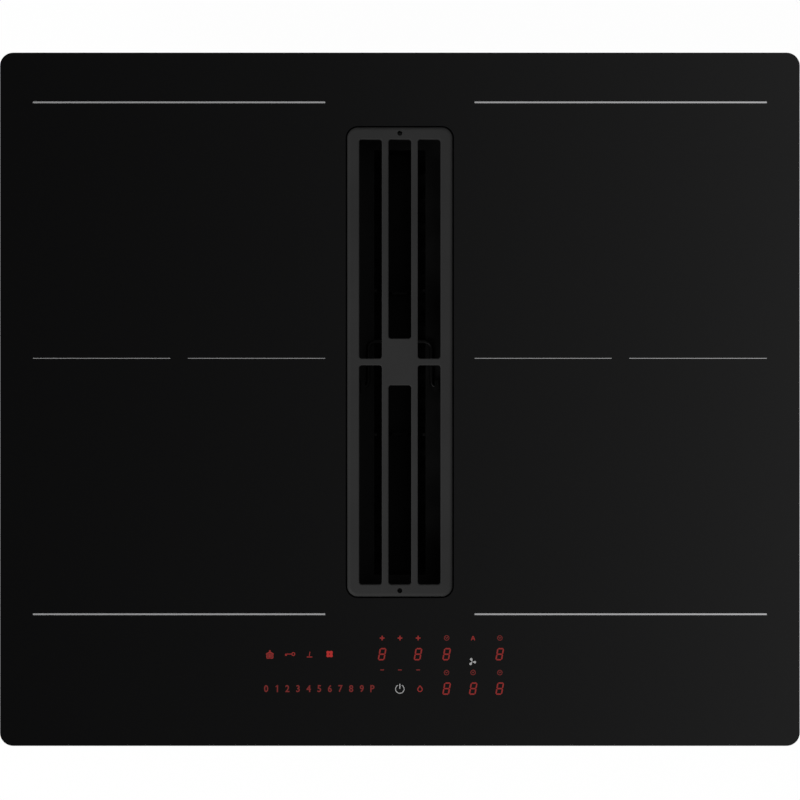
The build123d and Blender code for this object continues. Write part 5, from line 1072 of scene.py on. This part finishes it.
def blade(number):
    """One blade's section, which leaves the eye along a radius and bends forward: on each flank
    (eye radius + r sin a, arc radius - r cos a), r being the arc radius less or plus half a thickness."""
    angle = np.linspace(0, BLADE_TURN, 8)
    flanks = []
    for radius in (BLADE_ARC - BLADE_T / 2, BLADE_ARC + BLADE_T / 2):
        across, along = EYE_BLADE_R + radius * np.sin(angle), BLADE_ARC - radius * np.cos(angle)
        flanks.append(np.column_stack([across, along]))
    return moved(np.vstack([flanks[0], flanks[1][::-1]]), AXIS_X, AXIS_Y, number * 2 * pi / BLADES)


grey_plastic = plastic("grey_plastic", (0.075, 0.075, 0.08), (0.1, 0.1, 0.105), 0.45, 0.58, 0.35, 0.15)
wheel = []
for inner, low, high, ease in ((CAN_R, WHEEL_LOW, FLOOR_TOP, 0.5), (EYE_BLADE_R, SHROUD_LOW, WHEEL_TOP, 0.9)):
    wheel += turned([(inner, low), (IMPELLER_R, low), (IMPELLER_R, high), (inner, high)], ease=ease)
for number in range(BLADES):
    wheel += prism([blade(number)], FLOOR_TOP - 0.1, SHROUD_LOW + 0.1)
moulded("blower_wheel", wheel, [grey_plastic], "impeller", "grey_plastic", "impeller")

# ---------------------------------------------------------------- motor
# An outer-rotor motor inside the impeller: a pressed zinc-plated can with magnets turns on a ground
# shaft round nine wound poles of stacked laminations, on a die-cast foot screwed to the case floor.
CAN_BORE, CAN_TOP, CAN_ROOF, SHAFT_R = 39.0, 51.0, 48.5, 3.0
shell = [(CAN_R, WHEEL_LOW), (CAN_R, CAN_TOP), (SHAFT_R, CAN_TOP), (SHAFT_R, CAN_ROOF)]
shell += [(CAN_BORE, CAN_ROOF), (CAN_BORE, WHEEL_LOW)]
moulded("rotor_can", turned(shell, ease=2.0), [zinc_steel], "impeller", "zinc_steel", "motor_rotor")
bearing_steel = brushed("bearing_steel", (0.6, 0.6, 0.6), 0.14, 0.24, (1.0, 1.0, 90.0))
dress(bearing_steel, "motor_shaft")
die_cast, tree, shader = new_finish("die_cast_aluminium", (0.55, 0.55, 0.56), 0.5, 1.0)
bumped(tree, shader, place_noise(tree, 900.0, 4.0), 0.3, 0.08)
handled(tree, shader, 12, 0.42, 0.58)
dress(die_cast, "motor_mount")
lamination_steel, tree, shader = new_finish("lamination_steel", (0.3, 0.31, 0.33), 0.45, 0.9)
level = put(tree, "ShaderNodeSeparateXYZ", {0: own_place(tree)}).outputs["Z"]
sheet = calc(tree, "FRACT", calc(tree, "DIVIDE", level, 0.5 * mm))
coloured(tree, shader, calc(tree, "GREATER_THAN", sheet, 0.8), (0.3, 0.31, 0.33), (0.08, 0.07, 0.06))
dress(lamination_steel, "motor_stator")

# ---------------------------------------------------------------- induction coils
# Four flat coils of enamelled litz wire, each wound in 21 turns on a cream former with ferrite bars
# under it. A mica mat covers each, a white sensor stands in its middle, and springs press all upwards.
COIL_OUT, COIL_IN, TURNS, TURN_DEPTH = (206.0, 182.0, 50.0), (56.0, 40.0, 14.0), 21, 1.2
COIL_LOW, COIL_TOP, ZONE_X, ZONE_YS = 197.5, 204.0, 165.5, (126.7, -65.3)

copper, tree, shader = new_finish("copper", (0.62, 0.26, 0.12), 0.34, 1.0)
strands = place_noise(tree, 700.0, 3.0, (1.0, 1.0, 0.3))
bumped(tree, shader, strands, 0.5, 0.2)
coloured(tree, shader, strands, (0.42, 0.15, 0.06), (0.72, 0.34, 0.17))
for x, hand in ((-ZONE_X, "left"), (ZONE_X, "right")):
    for y, row in zip(ZONE_YS, ("rear", "front")):
        share = np.linspace(0, 1, 4 * TURNS + 1)
        height = COIL_TOP - TURN_DEPTH * (1 - abs(np.sin(TURNS * pi * share)))
        height = np.append(height, [COIL_LOW, COIL_LOW, height[0]])
        share = np.append(share, [1.0, 0.0, 0.0])
        sizes = [[a + (b - a) * s for a, b in zip(COIL_OUT, COIL_IN)] for s in share]
        turns = band([raised(rounded(*size, x, y, 7), z) for size, z in zip(sizes, height)])
        name, node = f"litz_coil_{hand}_{row}", f"coil_{hand}_{row}"
        moulded(name, [turns], [copper], "chassis", "copper", node, smooth=60)
dress(copper, "motor_windings")

mica, tree, shader = new_finish("mica", (0.62, 0.57, 0.47), 0.5, Specular_IOR_Level=0.6)
cells, tones = crystals(tree, own_place(tree), 500.0)
coloured(tree, shader, tones[0], (0.5, 0.45, 0.36), (0.68, 0.63, 0.53))
roughened(tree, shader, tones[1], 0.3, 0.7)
dress(mica, "insulation_mats")
former_plastic = plastic("former_plastic", (0.52, 0.5, 0.42), (0.6, 0.58, 0.5), 0.45, 0.55)
dress(former_plastic, "coil_formers")
ferrite = plastic("ferrite", (0.035, 0.035, 0.04), (0.06, 0.06, 0.065), 0.5, 0.7, 0.1, 0.3)
dress(ferrite, "ferrite_bars")
ceramic_white = plastic("ceramic_white", (0.74, 0.73, 0.69), (0.8, 0.79, 0.75), 0.3, 0.4, 0.1, 0.1)
dress(ceramic_white, "temperature_sensors")
dress(spring_steel, "carrier_springs")
aluminium_sheet = brushed("aluminium_sheet", (0.75, 0.76, 0.77), 0.3, 0.42, (60.0, 0.6, 60.0))
dress(aluminium_sheet, "coil_carrier_left", "coil_carrier_right", "heat_sink_left", "heat_sink_right")

# ---------------------------------------------------------------- electronics
# Green solder-masked boards in moulded trays carry the two generators, the mains filter and the
# supply; a narrow one with display blocks lies under the touch keys. A radial fan cools each side.
BOARD_FACE, KEY_BOARD_Y, TRACK_PITCH, TRACK_HALF_GAP = 156.15 * mm, -170 * mm, 1.6 * mm, 0.45 * mm
FIELD_SCALE, PART_SCALE, PLAIN_SHARE = 90.0, 28.0, 0.35

# The mask over the copper: square fields in which tracks run one way or the other, some left plain.
# What stands above a board's face is its components, except on the narrow board under the keys.
circuit_board, tree, shader = new_finish("circuit_board", (0.015, 0.1, 0.04), 0.35)
where = own_place(tree)
axes = put(tree, "ShaderNodeSeparateXYZ", {0: where}).outputs
run = crystals(tree, where, FIELD_SCALE, distance="CHEBYCHEV")[1]
lanes = [calc(tree, "PINGPONG", axes[axis], TRACK_PITCH / 2) for axis in ("X", "Y")]
which = calc(tree, "GREATER_THAN", run[0], 0.5)
lane = put(tree, "ShaderNodeMix", {0: which, 2: lanes[0], 3: lanes[1]}).outputs[0]
on_track = calc(tree, "GREATER_THAN", lane, TRACK_HALF_GAP)
track = calc(tree, "MULTIPLY", on_track, calc(tree, "GREATER_THAN", run[1], PLAIN_SHARE))
mask = two_toned(tree, track, (0.015, 0.1, 0.04), (0.028, 0.16, 0.065))
part = crystals(tree, where, PART_SCALE)[1][0]
parts = two_toned(tree, part, (0.012, 0.012, 0.013), (0.07, 0.06, 0.05))
above = calc(tree, "GREATER_THAN", axes["Z"], BOARD_FACE)
above = calc(tree, "SUBTRACT", above, calc(tree, "LESS_THAN", axes["Y"], KEY_BOARD_Y))
feeds = {0: calc(tree, "MAXIMUM", above, 0.0), 6: mask, 7: parts}
tree.links.new(put(tree, "ShaderNodeMix", feeds, data_type="RGBA").outputs[2], shader.inputs["Base Color"])
handled(tree, shader, 15, 0.28, 0.4)
dress(circuit_board, "power_board_left", "power_board_right", "supply_board")
dress(circuit_board, "mains_filter_board", "control_board")
white_plastic = plastic("white_plastic", (0.66, 0.65, 0.61), (0.72, 0.71, 0.67), 0.38, 0.48)
dress(white_plastic, "board_tray_left", "board_tray_right", "control_bracket", "terminal_block")
display_plastic = plastic("display_plastic", (0.03, 0.03, 0.03), (0.05, 0.05, 0.05), 0.25, 0.35, 0.1, 0.05)
dress(display_plastic, "display_modules")
for hand in ("left", "right"):
    housing, rotor = f"cooling_fan_housing_{hand}", f"cooling_fan_rotor_{hand}"
    eased_copy(housing, f"fan_case_{hand}", "chassis", black_plastic, 0.4)
    eased_copy(rotor, f"fan_wheel_{hand}", f"cooling_fan_{hand}", black_plastic, 0.2)

# ---------------------------------------------------------------- mains connection
# A moulded cover under the rear left of the pan hides the terminal block. Its nylon gland, with a
# hexagon against the wall and a ribbed dome nut, clamps the mains cable when one is fitted.
COVER_X, COVER_Y, COVER_LOW, GLAND_Y, GLAND_Z = -222.0, 190.0, 116.0, 224.0, 131.0
GLAND_BORE, HEX_R, NUT_R = 5.5, 13.6, 11.0
cover = [(6.0, COVER_LOW), (1.8, COVER_LOW), (0.5, COVER_LOW + 0.5), (0.0, COVER_LOW + 1.8), (0.0, PAN_LOW)]
cover += [(2.0, PAN_LOW), (2.0, COVER_LOW + 2.0), (8.0, COVER_LOW + 2.0)]
cover = hoop((80, 68, 5), cover, COVER_X, COVER_Y, closed=False)
for y in (176, 204):
    cover += plate((12, 9, 2.5, COVER_X + 44.5, y), [], PAN_LOW - 2.5, PAN_LOW, 0.5)
    cover += screw(COVER_X + 46, y, PAN_LOW - 2.4, 3.2, 2.0, tip=pi)
for x in COVER_X + np.linspace(-24, 24, 7):
    cover += posed(prism([corners(x - 0.7, x + 0.7, COVER_LOW + 3, PAN_LOW - 3)], -156.2, -155.4), tip=pi / 2)
moulded("mains_cover", cover, [black_plastic, zinc_steel], "chassis", "black_plastic", "terminal_cover")

gland = turned([(GLAND_BORE, -14), (9, -14), (9, 0.2), (GLAND_BORE, 0.2)], 0, 0, 32, 0.4)
gland += turned([(8.0, 0.0), (HEX_R, 0.0), (HEX_R, 4.6), (HEX_R - 1, 5.2), (8.0, 5.2)], 0, 0, 6)
nut = [(GLAND_BORE, 5.0), (NUT_R, 5.0), (NUT_R, 7.2), (9.6, 9.4), (7.2, 10.0), (GLAND_BORE, 9.4)]
gland += turned(nut, 0, 0, 32, 0.7)
grip = corners(NUT_R - 0.4, NUT_R + 0.6, -0.7, 0.7)
for number in range(12):
    gland += prism([moved(grip, turn=number * pi / 6)], 5.1, 7.4)
gland = posed(gland, COVER_X, GLAND_Y, GLAND_Z, tip=-pi / 2)
moulded("cable_gland_body", gland, [black_plastic], "chassis", "black_plastic", "cable_gland", smooth=28)

# ---------------------------------------------------------------- blower control box
# A black moulded box under the left of the pan that drives the blower. Two ears are screwed up into
# the pan, cooling ribs run along its sides, and its lid is held by four screws from below.
BOX_X, BOX_Y, BOX_LOW = -165.0, 10.0, 112.0
profile = [(12.0, BOX_LOW), (2.6, BOX_LOW), (0.8, BOX_LOW + 0.8), (0.0, BOX_LOW + 2.6)]
profile += [(0.0, BOX_LOW + 8.0), (0.5, BOX_LOW + 8.3), (0.5, BOX_LOW + 9.1), (0.0, BOX_LOW + 9.4)]
profile += [(0.0, PAN_LOW - 0.4), (0.4, PAN_LOW)]
driver = hoop((110, 76, 6), profile, BOX_X, BOX_Y, closed=False)
for side in (-1, 1):
    spot = BOX_X + side * 61.0, BOX_Y
    driver += plate((13, 38, 4, *spot), [], PAN_LOW - 2.5, PAN_LOW, 0.5)
    for y in (-11, 11):
        driver += screw(spot[0] + side * 0.5, BOX_Y + y, PAN_LOW - 2.4, 3.4, 2.0, tip=pi)
for across in np.linspace(-40, 40, 9):
    for y in (-38, 38):
        rib = rounded(1.6, 1.8, 0.5, BOX_X + across, BOX_Y + y, 3)
        driver += prism([rib], BOX_LOW + 10.5, PAN_LOW - 3)
for x in (-47, 47):
    for y in (-30, 30):
        driver += screw(BOX_X + x, BOX_Y + y, BOX_LOW + 0.3, 2.8, 1.2, tip=pi)
moulded("driver_box", driver, [black_plastic, zinc_steel], "chassis", "black_plastic", "blower_control_box")
